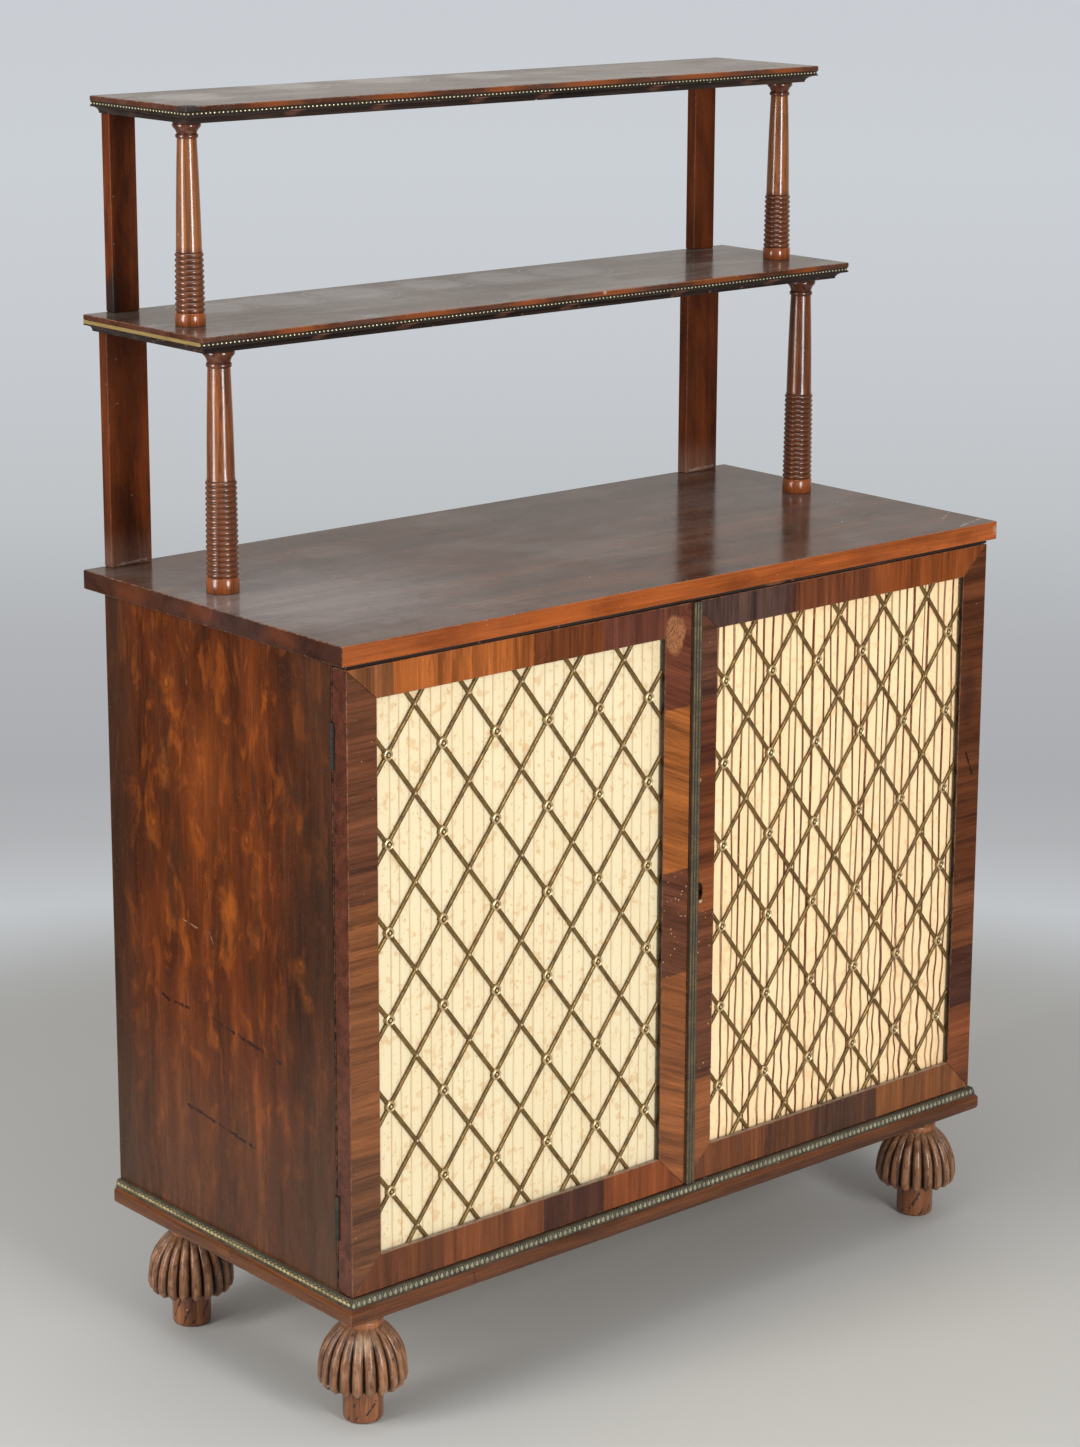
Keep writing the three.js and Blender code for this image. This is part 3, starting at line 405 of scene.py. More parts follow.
@dataclass
class Surface:
    """What the layers of one finish work on: sockets for its colour, roughness and relief."""

    graph: Graph
    place: Socket
    tone: Socket
    colour: Socket
    rough: Socket
    height: Socket
    mid_tone: float = 0.48

    def mask(self, tree: bpy.types.NodeTree, **inputs: Any) -> Socket:
        """What a shared group gives first, fed with the surface's own place."""
        return self.graph.use(tree, Place=self.place, **inputs).outputs[0]

    def patch(self, centre: Place, weights: Place, radius: float, soft: float, waver: float) -> Socket:
        """The mask of a round patch."""
        return self.mask(round_mask(), Centre=centre, Weights=weights, Radius=radius, Soft=soft, Waver=waver)

    def lay(self, mask: Any, colour: Any, share: Any = None, rough: float | None = None, height: float = 0.0) -> None:
        """Lays a colour over the surface where a mask is.

        Args:
            mask: how much of the layer shows.
            colour: the layer's colour.
            share: how much of the mask counts, if not all of it.
            rough: the layer's roughness, if it differs.
            height: how far the layer stands proud, or is sunk.
        """
        g = self.graph
        mask = mask if share is None else g.times(mask, share)
        self.colour = g.mix(mask, self.colour, colour)
        if rough is not None:
            self.rough = g.math("MULTIPLY_ADD", g.less(rough, self.rough), mask, self.rough)
        if height:
            self.height = g.math("MULTIPLY_ADD", mask, height, self.height)

    def grained(self, colour: RGB, depth: float = 1.15) -> Socket:
        """A colour that still shows the grain below it, more so with more depth."""
        shade = self.graph.math("MULTIPLY_ADD", self.tone, depth, 1 - depth * self.mid_tone)
        return self.graph.scaled(colour, shade)


@dataclass(frozen=True)
class Band:
    """A length of another colour between two places along a direction, such as veneer, an edge's colour or dust, and in
    places a painted shade line.
    """

    axis: Place
    start: float
    stop: float
    colour: RGB
    share: float = 0.85
    soft: float = 1.0
    waver: float = 3.0

    def apply(self, s: Surface) -> None:
        """Lays the band on a surface."""
        band = s.mask(band_mask(), Axis=self.axis, Start=self.start, Stop=self.stop, Soft=self.soft, Waver=self.waver)
        s.lay(band, s.grained(self.colour), self.share)


@dataclass(frozen=True)
class Blot:
    """A soft round patch."""

    centre: Place
    radius: float
    colour: RGB
    share: float = 0.7
    soft: float = 0.6
    weights: Place = (1.0, 1.0, 1.0)
    rough: float | None = None
    waver: float = 8.0

    def apply(self, s: Surface) -> None:
        """Lays the patch on a surface."""
        patch = s.patch(self.centre, self.weights, self.radius, self.soft, self.waver)
        s.lay(patch, s.grained(self.colour, 0.5), self.share, self.rough)


@dataclass(frozen=True)
class RingMark:
    """The pale ring that a pot or glass leaves on a polished board."""

    centre: Place
    radius: float
    colour: RGB = (0.42, 0.38, 0.34)
    share: float = 0.32
    rim: float = 3.0
    disc: float = 0.45
    looks: Place = (0.0, 0.0, 1.0)

    def apply(self, s: Surface) -> None:
        """Lays the ring and a faint disc on the faces that look along one direction.

        Args:
            s: the surface that is marked.
        """
        g = s.graph
        node = g.use(round_mask(), Place=s.place, Centre=self.centre, Radius=self.radius, Rim=self.rim,
                     Weights=tuple(1.0 - abs(v) for v in self.looks), Soft=0.45, Waver=4.0)
        facing = g.span(g.math("ABSOLUTE", g.vector("DOT_PRODUCT", g.normal(), self.looks)), 0.6, 0.9)
        patchy = g.span(g.noise(s.place, 0.03, 3.0), 0.35, 0.6)
        ring = g.times(g.times(node.outputs["Ring"], patchy), 0.5)
        both = g.math("MULTIPLY_ADD", node.outputs["Patch"], self.disc, ring)
        s.lay(g.times(both, facing), self.colour, self.share, 0.3)


@dataclass(frozen=True)
class Stroke:
    """A scratch, a crack or a vein from one place to another."""

    start: Place
    end: Place
    width: float
    colour: RGB
    share: float = 0.8
    waver: float = 0.0
    broken: float = 0.2
    height: float = 0.0

    def apply(self, s: Surface) -> None:
        """Draws the line on a surface.

        Args:
            s: the surface that is marked.
        """
        line = s.mask(stroke_mask(), Start=self.start, End=self.end, Width=self.width, Waver=self.waver,
                      Broken=self.broken)
        s.lay(line, self.colour, self.share, None, self.height)


@dataclass(frozen=True)
class Flecks:
    """Small chips and spots over a stretch of a surface."""

    pitch: float
    size: float
    amount: float
    colour: RGB
    axis: Place = (0.0, 0.0, 1.0)
    start: float = -1e4
    stop: float = 1e4
    share: float = 0.8

    def apply(self, s: Surface) -> None:
        """Scatters the chips on a surface.

        Args:
            s: the surface that is marked.
        """
        chips = s.mask(fleck_mask(), Pitch=self.pitch, Size=self.size, Share=self.amount)
        there = s.mask(band_mask(), Axis=self.axis, Start=self.start, Stop=self.stop, Soft=3.0, Waver=12.0)
        s.lay(s.graph.times(chips, there), self.colour, self.share, 0.6, -0.4)


@dataclass(frozen=True)
class Fade:
    """A slow change of colour along a direction, from nothing at start to its full share at stop."""

    axis: Place
    start: float
    stop: float
    colour: RGB
    share: float = 0.6

    def apply(self, s: Surface) -> None:
        """Lays the fade on a surface.

        Args:
            s: the surface that is marked.
        """
        g = s.graph
        straight = g.vector("DOT_PRODUCT", s.place, self.axis)
        along = g.math("MULTIPLY_ADD", g.uneven(s.place, 0.02, 3.0), abs(self.stop - self.start) * 0.3, straight)
        s.lay(g.span(along, self.start, self.stop), s.grained(self.colour), self.share)


@dataclass(frozen=True)
class Mottle:
    """Cloudy patches all over, of one colour, with a size along each direction."""

    colour: RGB
    share: float
    size: Place
    low: float = 0.48
    high: float = 0.66
    seed: float = 0.0
    rough: float | None = None
    detail: float = 5.0

    def apply(self, s: Surface) -> None:
        """Lays the patches on a surface.

        Args:
            s: the surface that is marked.
        """
        g = s.graph
        moved = g.vector("ADD", s.place, (self.seed * 71, self.seed * 37, self.seed * 53))
        cloud = g.noise(g.each(moved, tuple(1 / v for v in self.size)), 1.0, self.detail, 0.62, 0.9)
        s.lay(g.span(cloud, self.low, self.high), s.grained(self.colour, 0.9), self.share, self.rough)


@dataclass(frozen=True)
class Knot:
    """A small knot: a warm glow, a ring of turned grain and a dark middle."""

    centre: Place
    radius: float
    glow: RGB
    weights: Place = (1.0, 1.0, 0.7)
    dark: RGB = (0.03, 0.01, 0.004)

    def apply(self, s: Surface) -> None:
        """Lays the knot on a surface.

        Args:
            s: the surface that is marked.
        """
        x, y, z = self.centre
        whole, ring, core = self.radius, self.radius * 0.42, self.radius * 0.2
        for radius, colour, share, soft in ((whole, self.glow, 0.36, 0.95), (ring, self.dark, 0.5, 0.95),
                                            (core, self.glow, 0.5, 0.8)):
            centre = (x, y, z + (whole - radius) * 0.35)
            s.lay(s.patch(centre, self.weights, radius, soft, radius * 1.9), s.grained(colour, 0.9), share)


@dataclass(frozen=True)
class Scar:
    """A patch where the polish has gone and the raw wood shows, with fine dark specks."""

    centre: Place
    radius: float
    colour: RGB
    weights: Place = (1.0, 0.0, 1.0)
    share: float = 0.85

    def apply(self, s: Surface) -> None:
        """Lays the patch on a surface.

        Args:
            s: the surface that is marked.
        """
        g = s.graph
        patch = s.patch(self.centre, self.weights, self.radius, 0.3, self.radius * 0.7)
        specks = g.span(g.noise(g.each(s.place, (0.5, 0.5, 0.22)), 1.0, 3.0, 0.7), 0.48, 0.6)
        raw = g.mix(g.times(specks, 0.75), self.colour, tuple(v * 0.22 for v in self.colour))
        s.lay(patch, raw, self.share, 0.7, -0.3)


@dataclass(frozen=True)
class Hairlines:
    """Fine scratches all over, running near one direction."""

    turn: Place
    amount: float
    colour: RGB
    scale: float = 1.0

    def apply(self, s: Surface) -> None:
        """Draws the scratches on a surface.

        Args:
            s: the surface that is marked.
        """
        g = s.graph
        turned = g.add("ShaderNodeMapping", {"Vector": s.place, "Rotation": self.turn}).outputs[0]
        thin = g.noise(g.each(turned, (0.012 * self.scale, 1.3, 1.3)), 1.0, 1.0)
        where = g.span(g.noise(s.place, 0.012, 3.0), 0.42, 0.62)
        line = g.span(thin, 0.7, 0.76)
        s.lay(g.times(line, where), self.colour, self.amount, 0.5)


@dataclass(frozen=True)
class Hollows:
    """Darkens a piece where its own depth attribute is high: dark polish and dirt in the hollows of a turned or carved
    piece, and painted shade on a rosette's outer wall.
    """

    colour: RGB
    share: float = 0.8
    start: float = 0.35
    stop: float = 1.0

    def apply(self, s: Surface) -> None:
        """Darkens a surface where its depth attribute is high.

        Args:
            s: the surface that is marked.
        """
        g = s.graph
        uneven = g.math("MULTIPLY_ADD", g.uneven(s.place, 0.12, 3.0), 0.5, g.attribute("depth"))
        s.lay(g.span(uneven, self.start, self.stop), self.colour, self.share, 0.6)


@dataclass(frozen=True)
class Crests:
    """Pale rubbed crests, where the depth attribute is near nothing."""

    colour: RGB
    share: float = 0.5
    stop: float = 0.25

    def apply(self, s: Surface) -> None:
        """Lightens the crests of a surface.

        Args:
            s: the surface that is marked.
        """
        g = s.graph
        patchy = g.span(g.noise(s.place, 0.07, 4.0, 0.7), 0.4, 0.62)
        top = g.less(1.0, g.span(g.attribute("depth"), 0.0, self.stop))
        s.lay(g.times(top, patchy), self.colour, self.share, 0.45)


Mark = Band | Blot | RingMark | Stroke | Flecks | Fade | Mottle | Knot | Scar | Hairlines | Hollows | Crests
DUST: RGB = (0.36, 0.33, 0.3)


class Grain(Enum):
    """Which way the grain runs, as the turn that brings it to X."""

    ACROSS = (0.0, 0.0, 0.0)
    DEEP = (0.0, 0.0, math.pi / 2)
    UPRIGHT = (0.0, math.pi / 2, 0.0)
    SLANT_RIGHT = (0.0, math.radians(-24), 0.0)


class Slot(Enum):
    """The record's material slots."""

    ROSEWOOD = "rosewood"
    POLISHED_TOP = "polished_top"
    TURNED_WOOD = "turned_wood"
    CARVED_WOOD = "carved_wood"
    EBONISED = "ebonised"
    PINE = "pine"
    BRASS = "brass"
    AGED_BRASS = "aged_brass"
    IRON = "iron"
    SILK = "silk"


def begin(name: str) -> tuple[Graph, Socket, bpy.types.Material]:
    """An empty material and the place on the piece, in millimetres.

    Args:
        name: the material's name.

    Returns:
        The tree to write in, the place, and the material.
    """
    made = bpy.data.materials.new(name)
    made.use_nodes = True
    made.node_tree.nodes.clear()
    graph = Graph(made.node_tree)
    place = graph.scaled(graph.add("ShaderNodeTexCoord").outputs["Object"], 1000.0)
    return graph, place, made


def close(s: Surface, relief: float, **plain: Any) -> None:
    """Ends a material in its shader.

    Args:
        s: the finished surface.
        relief: how deep a height of 1 is, in millimetres.
        plain: values that are the same all over, set on the shader's own sockets.
    """
    g = s.graph
    bump = g.add("ShaderNodeBump", {"Height": s.height, "Distance": relief * MM, "Strength": 1.0})
    inputs = {"Base Color": s.colour, "Roughness": s.rough, "Normal": bump.outputs[0]}
    inputs |= {key.replace("_", " "): value for key, value in plain.items()}
    shader = g.add("ShaderNodeBsdfPrincipled", inputs)
    g.add("ShaderNodeOutputMaterial", {0: shader.outputs[0]})


@dataclass(frozen=True)
class WoodFinish:
    """A polished, worn wood."""

    slot: Slot
    dark: RGB
    middle: RGB
    light: RGB
    band: float = 16.0
    contrast: float = 3.4
    cloud: float = 1.6
    veins: float = 0.6
    pores: float = 0.5
    rough: float = 0.27
    gloss: float = 0.28
    coat: float = 0.06
    coat_rough: float = 0.1
    worn: RGB = (0.26, 0.115, 0.055)
    wear: float = 0.8
    dust: float = 0.15
    relief: float = 0.08

    def make(self, name: str, box: tuple[Vector, Vector], grain: Grain, seed: float,
             marks: Sequence[Mark] = ()) -> bpy.types.Material:
        """The finish for one piece.

        Args:
            name: the piece's name.
            box: its lowest and highest corners, in metres.
            grain: which way the grain runs.
            seed: moves the figure, so that no two pieces show the same.
            marks: patches, scratches and stains of this piece.

        Returns:
            The material.
        """
        g, place, made = begin(name + "_finish")
        middle = (box[0] + box[1]) * 500
        centred = g.vector("SUBTRACT", place, tuple(middle))
        turned = g.add("ShaderNodeMapping", {"Vector": centred, "Rotation": grain.value}).outputs[0]
        wood = g.use(wood_figure(), Place=turned, Seed=seed, Band=self.band, Contrast=self.contrast,
                     Pores=self.pores, Cloud=self.cloud, Veins=self.veins, Dark=self.dark, Middle=self.middle,
                     Light=self.light).outputs
        cloudy = g.math("MULTIPLY_ADD", g.noise(place, 0.03, 4.0, 0.6), 0.16, self.rough - 0.08)
        s = Surface(g, place, wood["Tone"], wood["Colour"], cloudy, wood["Height"])
        for mark in marks:
            mark.apply(s)
        if self.wear:
            worn = g.use(edge_mask(), Place=place, Low=tuple(box[0] * 1000), High=tuple(box[1] * 1000), Width=self.wear)
            s.lay(worn.outputs["Mask"], self.worn, 0.55, 0.55)
        if self.dust:
            s.lay(s.mask(dust_mask(), Amount=self.dust), DUST, None, 0.75)
        close(s, self.relief, Specular_IOR_Level=self.gloss, Coat_Weight=self.coat, Coat_Roughness=self.coat_rough)
        return made


@dataclass(frozen=True)
class MetalFinish:
    """Brass or iron, bright where it is rubbed and dull in its hollows."""

    slot: Slot
    bright: RGB
    dull: RGB
    bloom: RGB = (0.2, 0.24, 0.2)
    share: float = 0.5
    green: float = 0.2
    rough: float = 0.34
    metal: float = 0.9
    scale: float = 1.0

    def make(self, name: str, seed: float = 0.0, marks: Sequence[Mark] = ()) -> bpy.types.Material:
        """The finish for one piece.

        Args:
            name: the piece's name.
            seed: moves the tarnish.
            marks: shades and stains of this piece.

        Returns:
            The material.
        """
        g, place, made = begin(name + "_finish")
        moved = g.vector("ADD", place, (seed * 37.0, seed * 11.0, seed * 5.0))
        cloud = g.noise(moved, 0.05 * self.scale, 5.0, 0.7)
        fine = g.noise(moved, 0.7 * self.scale, 4.0, 0.65)
        tarnish = g.span(g.math("MULTIPLY_ADD", fine, 0.5, g.times(cloud, 0.5)), 0.62 - self.share * 0.5,
                         0.8 - self.share * 0.4)
        colour = g.mix(tarnish, self.bright, self.dull)
        rough = g.math("MULTIPLY_ADD", tarnish, 0.3, self.rough)
        s = Surface(g, place, fine, colour, rough, fine)
        bloom = g.span(g.noise(moved, 0.25 * self.scale, 4.0, 0.8), 0.55, 0.72)
        s.lay(bloom, self.bloom, self.green, 0.8)
        for mark in marks:
            mark.apply(s)
        metal = g.less(self.metal, g.times(tarnish, 0.35))
        close(s, 0.05, Metallic=metal)
        return made


ROSEWOOD = WoodFinish(Slot.ROSEWOOD, (0.02, 0.006, 0.003), (0.085, 0.022, 0.007), (0.2, 0.06, 0.017), band=13,
                      contrast=3.1, cloud=2.0)
SIDE_WOOD = WoodFinish(Slot.ROSEWOOD, (0.03, 0.008, 0.002), (0.1, 0.021, 0.004), (0.185, 0.044, 0.007), band=34,
                       contrast=2.3, cloud=2.4, veins=0.35, gloss=0.17, coat=0.03)
UPRIGHT_WOOD = replace(SIDE_WOOD, worn=(0.15, 0.055, 0.022), wear=0.5, dark=(0.022, 0.006, 0.003),
                       light=(0.15, 0.036, 0.008))
TOP_WOOD = WoodFinish(Slot.POLISHED_TOP, (0.034, 0.012, 0.006), (0.08, 0.029, 0.013), (0.13, 0.052, 0.023),
                      band=30, contrast=3.0, rough=0.13, gloss=0.3, coat=0.0, dust=0.12, veins=0.3)
SHELF_WOOD = replace(TOP_WOOD, dark=(0.045, 0.026, 0.018), middle=(0.08, 0.053, 0.041), light=(0.118, 0.086, 0.068),
                     gloss=0.3)
TURNED = WoodFinish(Slot.TURNED_WOOD, (0.045, 0.012, 0.004), (0.15, 0.041, 0.01), (0.27, 0.086, 0.022),
                    band=9, rough=0.24, gloss=0.45, coat=0.6, coat_rough=0.16, wear=0.0, dust=0.0, contrast=3.0,
                    cloud=1.2)
UPPER_TURNED = replace(TURNED, rough=0.3, gloss=0.3, coat=1.0, coat_rough=0.05)
CARVED = WoodFinish(Slot.CARVED_WOOD, (0.05, 0.017, 0.007), (0.18, 0.072, 0.028), (0.33, 0.15, 0.066),
                    band=8, rough=0.34, coat=0.3, wear=0.0, dust=0.2, contrast=3.2)
EBONISED = WoodFinish(Slot.EBONISED, (0.012, 0.008, 0.007), (0.024, 0.015, 0.012), (0.055, 0.03, 0.02), rough=0.42,
                      worn=(0.2, 0.085, 0.045), wear=0.9, pores=0.2)
PINE = WoodFinish(Slot.PINE, (0.16, 0.085, 0.04), (0.27, 0.16, 0.08), (0.38, 0.24, 0.13), band=15, contrast=2.6,
                  rough=0.72, coat=0.0, pores=0.15, worn=(0.4, 0.27, 0.16), dust=0.35, veins=0.3, cloud=0.7)
LATTICE_BRASS = MetalFinish(Slot.BRASS, (0.31, 0.19, 0.052), (0.105, 0.055, 0.015), share=0.5, green=0.0, scale=1.4,
                            metal=0.7)
BOSS_BRASS = MetalFinish(Slot.BRASS, (0.7, 0.53, 0.28), (0.38, 0.26, 0.13), share=0.35, green=0.0, scale=1.2,
                         metal=0.75)
STRIP_BRASS = MetalFinish(Slot.AGED_BRASS, (0.1, 0.083, 0.047), (0.036, 0.03, 0.018), share=0.5, green=0.25, rough=0.75,
                          scale=1.2, metal=0.1)
LEAF_BRASS = MetalFinish(Slot.AGED_BRASS, (0.42, 0.39, 0.265), (0.15, 0.14, 0.095), bloom=(0.27, 0.33, 0.29), share=0.5,
                         green=0.35, rough=0.5, metal=0.2)
END_LEAF_BRASS = replace(LEAF_BRASS, bright=(0.5, 0.39, 0.175), dull=(0.19, 0.145, 0.062), green=0.2)
BEAD_BRASS = MetalFinish(Slot.BRASS, (0.9, 0.76, 0.48), (0.42, 0.32, 0.17), share=0.3, green=0.05, scale=1.0, metal=0.7)
BED_BRASS = MetalFinish(Slot.BRASS, (0.055, 0.044, 0.028), (0.02, 0.017, 0.013), share=0.6, green=0.2, rough=0.5,
                        metal=0.5)
GILT = MetalFinish(Slot.BRASS, (0.62, 0.44, 0.17), (0.36, 0.25, 0.1), share=0.4, green=0.12, scale=1.0, metal=0.75)
HINGE_BRASS = MetalFinish(Slot.BRASS, (0.1, 0.075, 0.04), (0.02, 0.016, 0.012), share=0.7, green=0.1, rough=0.5,
                          metal=0.5)
ASTRAGAL_BRASS = MetalFinish(Slot.AGED_BRASS, (0.27, 0.205, 0.105), (0.085, 0.07, 0.048), share=0.6, green=0.12)
IRON = MetalFinish(Slot.IRON, (0.12, 0.115, 0.11), (0.05, 0.042, 0.036), bloom=(0.16, 0.07, 0.03), share=0.5,
                   green=0.35, rough=0.45)


@dataclass(frozen=True)
class SilkFinish:
    """Pleated silk, yellowed and foxed, with painted shade along the pleats' creases."""

    cloth: RGB
    deep: RGB
    # The colour of the painted shade along the pleats' creases.
    fold: RGB
    spot: RGB = (0.62, 0.35, 0.13)
    fold_share: float = 0.5
    spot_share: float = 0.75
    fold_edge: float = 0.75
    slot: Slot = Slot.SILK

    def make(self, name: str, seed: float) -> bpy.types.Material:
        """The finish for one sheet; it reads the sheet's own fold attribute.

        Args:
            name: the sheet's name.
            seed: moves the stains.

        Returns:
            The material.
        """
        g, place, made = begin(name + "_finish")
        moved = g.vector("ADD", place, (seed * 211.0, 0.0, seed * 53.0))
        fold = g.attribute("fold")
        broad = g.noise(g.each(moved, (0.02, 0.02, 0.004)), 1.0, 3.0)
        colour = g.mix(g.times(g.span(broad, 0.35, 0.7), 0.4), self.cloth, self.deep)
        s = Surface(g, place, broad, colour, g.math("MULTIPLY_ADD", broad, 0.1, 0.5), fold)
        # Painted shade along each pleat's crease, by the sheet's fold attribute.
        crease_shade = g.span(fold, 0.0, self.fold_edge)
        faint = g.span(g.noise(g.each(moved, (0.09, 0.09, 0.008)), 1.0, 2.0), 0.2, 0.6, 0.55, 1.0)
        s.lay(g.times(crease_shade, faint), self.fold, self.fold_share)
        slubs = g.noise(g.each(moved, (2.2, 2.2, 0.05)), 1.0, 2.0)
        s.lay(g.span(slubs, 0.55, 0.8), self.deep, 0.22)
        stain = g.noise(g.each(moved, (0.16, 0.16, 0.085)), 1.0, 2.0, 0.55)
        where = g.span(g.noise(g.each(moved, (0.022, 0.022, 0.016)), 1.0, 2.0), 0.38, 0.62)
        s.lay(g.times(g.span(stain, 0.56, 0.72), where), self.spot, self.spot_share * 0.55)
        for scale, low, soft, share in ((0.33, 0.675, 0.06, 0.9), (0.17, 0.65, 0.08, 0.75), (0.09, 0.59, 0.12, 0.6)):
            s.lay(g.span(g.noise(moved, scale, 1.5), low, low + soft), self.spot, self.spot_share * share)
        weft = g.noise(g.each(moved, (4.0, 4.0, 1.0)), 1.0, 1.0)
        s.height = g.math("ADD", g.times(slubs, 0.6), g.times(weft, 0.4))
        close(s, 0.06, Sheen_Weight=0.15, Specular_IOR_Level=0.3)
        return made


# Meshes

def put(name: str, mesh: bpy.types.Mesh) -> bpy.types.Object:
    """A mesh object at the origin, in the scene.

    Args:
        name: the object's name.
        mesh: its mesh.

    Returns:
        The object.
    """
    made = bpy.data.objects.new(name, mesh)
    bpy.context.scene.collection.objects.link(made)
    return made


ROUND = 64
NO_RADIUS = 1e-6
Points = Sequence[Sequence[float]]
Faces = Sequence[Sequence[int]]
Values = dict[str, Sequence[float]]


def bare(name: str, points: Points, faces: Faces = (), values: Values | None = None) -> bpy.types.Mesh:
    """A mesh just as it is drawn.

    Args:
        name: the mesh's name.
        points: its points, in millimetres.
        faces: its faces, as point numbers.
        values: values for each point, by attribute name.

    Returns:
        The mesh, in metres.
    """
    mesh = bpy.data.meshes.new(name)
    mesh.from_pydata([[c * MM for c in p] for p in points], [], faces)
    for label, each in (values or {}).items():
        mesh.attributes.new(label, "FLOAT", "POINT").data.foreach_set("value", np.array(each, np.float32))
    return mesh


def smooth(mesh: bpy.types.Mesh, sharp: float) -> None:
    """Shades a mesh smooth, but for edges sharper than an angle in degrees."""
    mesh.polygons.foreach_set("use_smooth", [True] * len(mesh.polygons))
    mesh.set_sharp_from_angle(angle=math.radians(sharp))


def mesh_of(name: str, points: Points, faces: Faces, sharp: float = 35.0,
            values: Values | None = None) -> bpy.types.Mesh:
    """A smooth-shaded mesh with its faces outward and its sharp edges kept.

    Args:
        name: the mesh's name.
        points: its points, in millimetres.
        faces: its faces, as point numbers.
        sharp: the angle from which an edge is sharp, in degrees.
        values: values for each point, by attribute name.

    Returns:
        The mesh, in metres.
    """
    mesh = bare(name, points, faces, values)
    work = bmesh.new()
    work.from_mesh(mesh)
    bmesh.ops.recalc_face_normals(work, faces=work.faces)
    work.to_mesh(mesh)
    work.free()
    smooth(mesh, sharp)
    return mesh


def joined(*shells: tuple[list, list]) -> tuple[list, list]:
    """Several shells of points and faces as one.

    Args:
        shells: points and faces of each shell.

    Returns:
        Points and faces.
    """
    points, faces = [], []
    for some, their in shells:
        faces += [[i + len(points) for i in f] for f in their]
        points += some
    return points, faces


def turned(profile: Sequence[tuple[float, float]], sides: int, centre: Place = (0, 0, 0)) -> tuple[list, list]:
    """A shell turned about a vertical axis.

    Args:
        profile: radius and height of each ring; a ring of no radius is a single point.
        sides: how many points a ring has.
        centre: where the axis stands.

    Returns:
        Points and faces.
    """
    points, rings = [], []
    for radius, z in profile:
        count = 1 if radius < NO_RADIUS else sides
        rings.append(range(len(points), len(points) + count))
        for i in range(count):
            a = 2 * math.pi * i / sides
            points.append((centre[0] + radius * math.cos(a), centre[1] + radius * math.sin(a), centre[2] + z))
    return points, skin(rings, sides)


def spread(rows: Sequence[Sequence[float]], values: Sequence[float], sides: int) -> list[float]:
    """One value for each point of a turned shell, from one value for each ring."""
    return [v for row, v in zip(rows, values) for _ in range(1 if row[0] < NO_RADIUS else sides)]


def skin(rings: Sequence[Sequence[int]], sides: int, closed: bool = True) -> list[list[int]]:
    """Faces between rings of point numbers, with fans where a ring is one point.

    Args:
        rings: the point numbers of each ring.
        sides: how many points a full ring has.
        closed: whether the last side meets the first.

    Returns:
        The faces.
    """
    faces = []
    for low, high in zip(rings, rings[1:]):
        for i in range(sides if closed else sides - 1):
            j = (i + 1) % sides
            a, b = (low[0], low[0]) if len(low) == 1 else (low[i], low[j])
            c, d = (high[0], high[0]) if len(high) == 1 else (high[j], high[i])
            faces.append(list(dict.fromkeys([a, b, c, d])))
    return [f for f in faces if len(f) > 2]


def run(sections: int, n: int) -> list[list[int]]:
    """The faces of a length through several sections of n points, with its two ends."""
    rings = [range(k * n, k * n + n) for k in range(sections)]
    return [*skin(rings, n), list(rings[0])[::-1], list(rings[-1])]


def mitred(section: Sequence[tuple[float, float]], path: Sequence[tuple[float, float]], z: float) -> tuple[list, list]:
    """A moulding round three sides of a box, mitred at the corners and flat at its ends.

    Args:
        section: how far out and how high each point of its section is.
        path: the plan's points: left back, left front, right front, right back.
        z: the height of the section's zero.

    Returns:
        Points and faces.
    """
    outs = [(-1, 0), (-1, -1), (1, -1), (1, 0)]
    points = [(x + o[0] * out, y + o[1] * out, z + up) for (x, y), o in zip(path, outs) for out, up in section]
    return points, run(4, len(section))


def arc(centre: tuple[float, float], radius: float, start: float, stop: float, steps: int) -> list[tuple[float, float]]:
    """Points on an arc of a section, with its angles in degrees."""
    angles = [math.radians(start + (stop - start) * i / steps) for i in range(steps + 1)]
    return [(centre[0] + radius * math.cos(a), centre[1] + radius * math.sin(a)) for a in angles]


def soften(node: str, radius: float, steps: int = 2, angle: float = 50.0) -> bpy.types.Mesh:
    """A CAD node's shape with its sharp edges eased.

    Args:
        node: the node's name.
        radius: how wide the eased edge is, in millimetres.
        steps: segments across the eased edge.
        angle: edges sharper than this are eased, in degrees.

    Returns:
        The new mesh.
    """
    mesh = frame["nodes"][node].data.copy()
    work = bmesh.new()
    work.from_mesh(mesh)
    bmesh.ops.remove_doubles(work, verts=work.verts, dist=2e-6)
    bmesh.ops.dissolve_limit(work, angle_limit=math.radians(0.6), verts=work.verts, edges=work.edges)
    work.to_mesh(mesh)
    work.free()
    mesh.materials.clear()
    if "custom_normal" in mesh.attributes:
        mesh.attributes.remove(mesh.attributes["custom_normal"])
    smooth(mesh, 30)
    piece = put(node + "_blank", mesh)
    bevel = piece.modifiers.new("eased edges", "BEVEL")
    bevel.width, bevel.segments = radius * MM, steps
    bevel.limit_method, bevel.angle_limit = "ANGLE", math.radians(angle)
    bevel.harden_normals = True
    return plain(piece)


def plain(piece: bpy.types.Object) -> bpy.types.Mesh:
    """The mesh of a piece with its modifiers worked in; the piece itself is removed.

    Args:
        piece: an object with modifiers.

    Returns:
        Its mesh.
    """
    graph = bpy.context.evaluated_depsgraph_get()
    mesh = bpy.data.meshes.new_from_object(piece.evaluated_get(graph))
    bpy.data.objects.remove(piece)
    return mesh


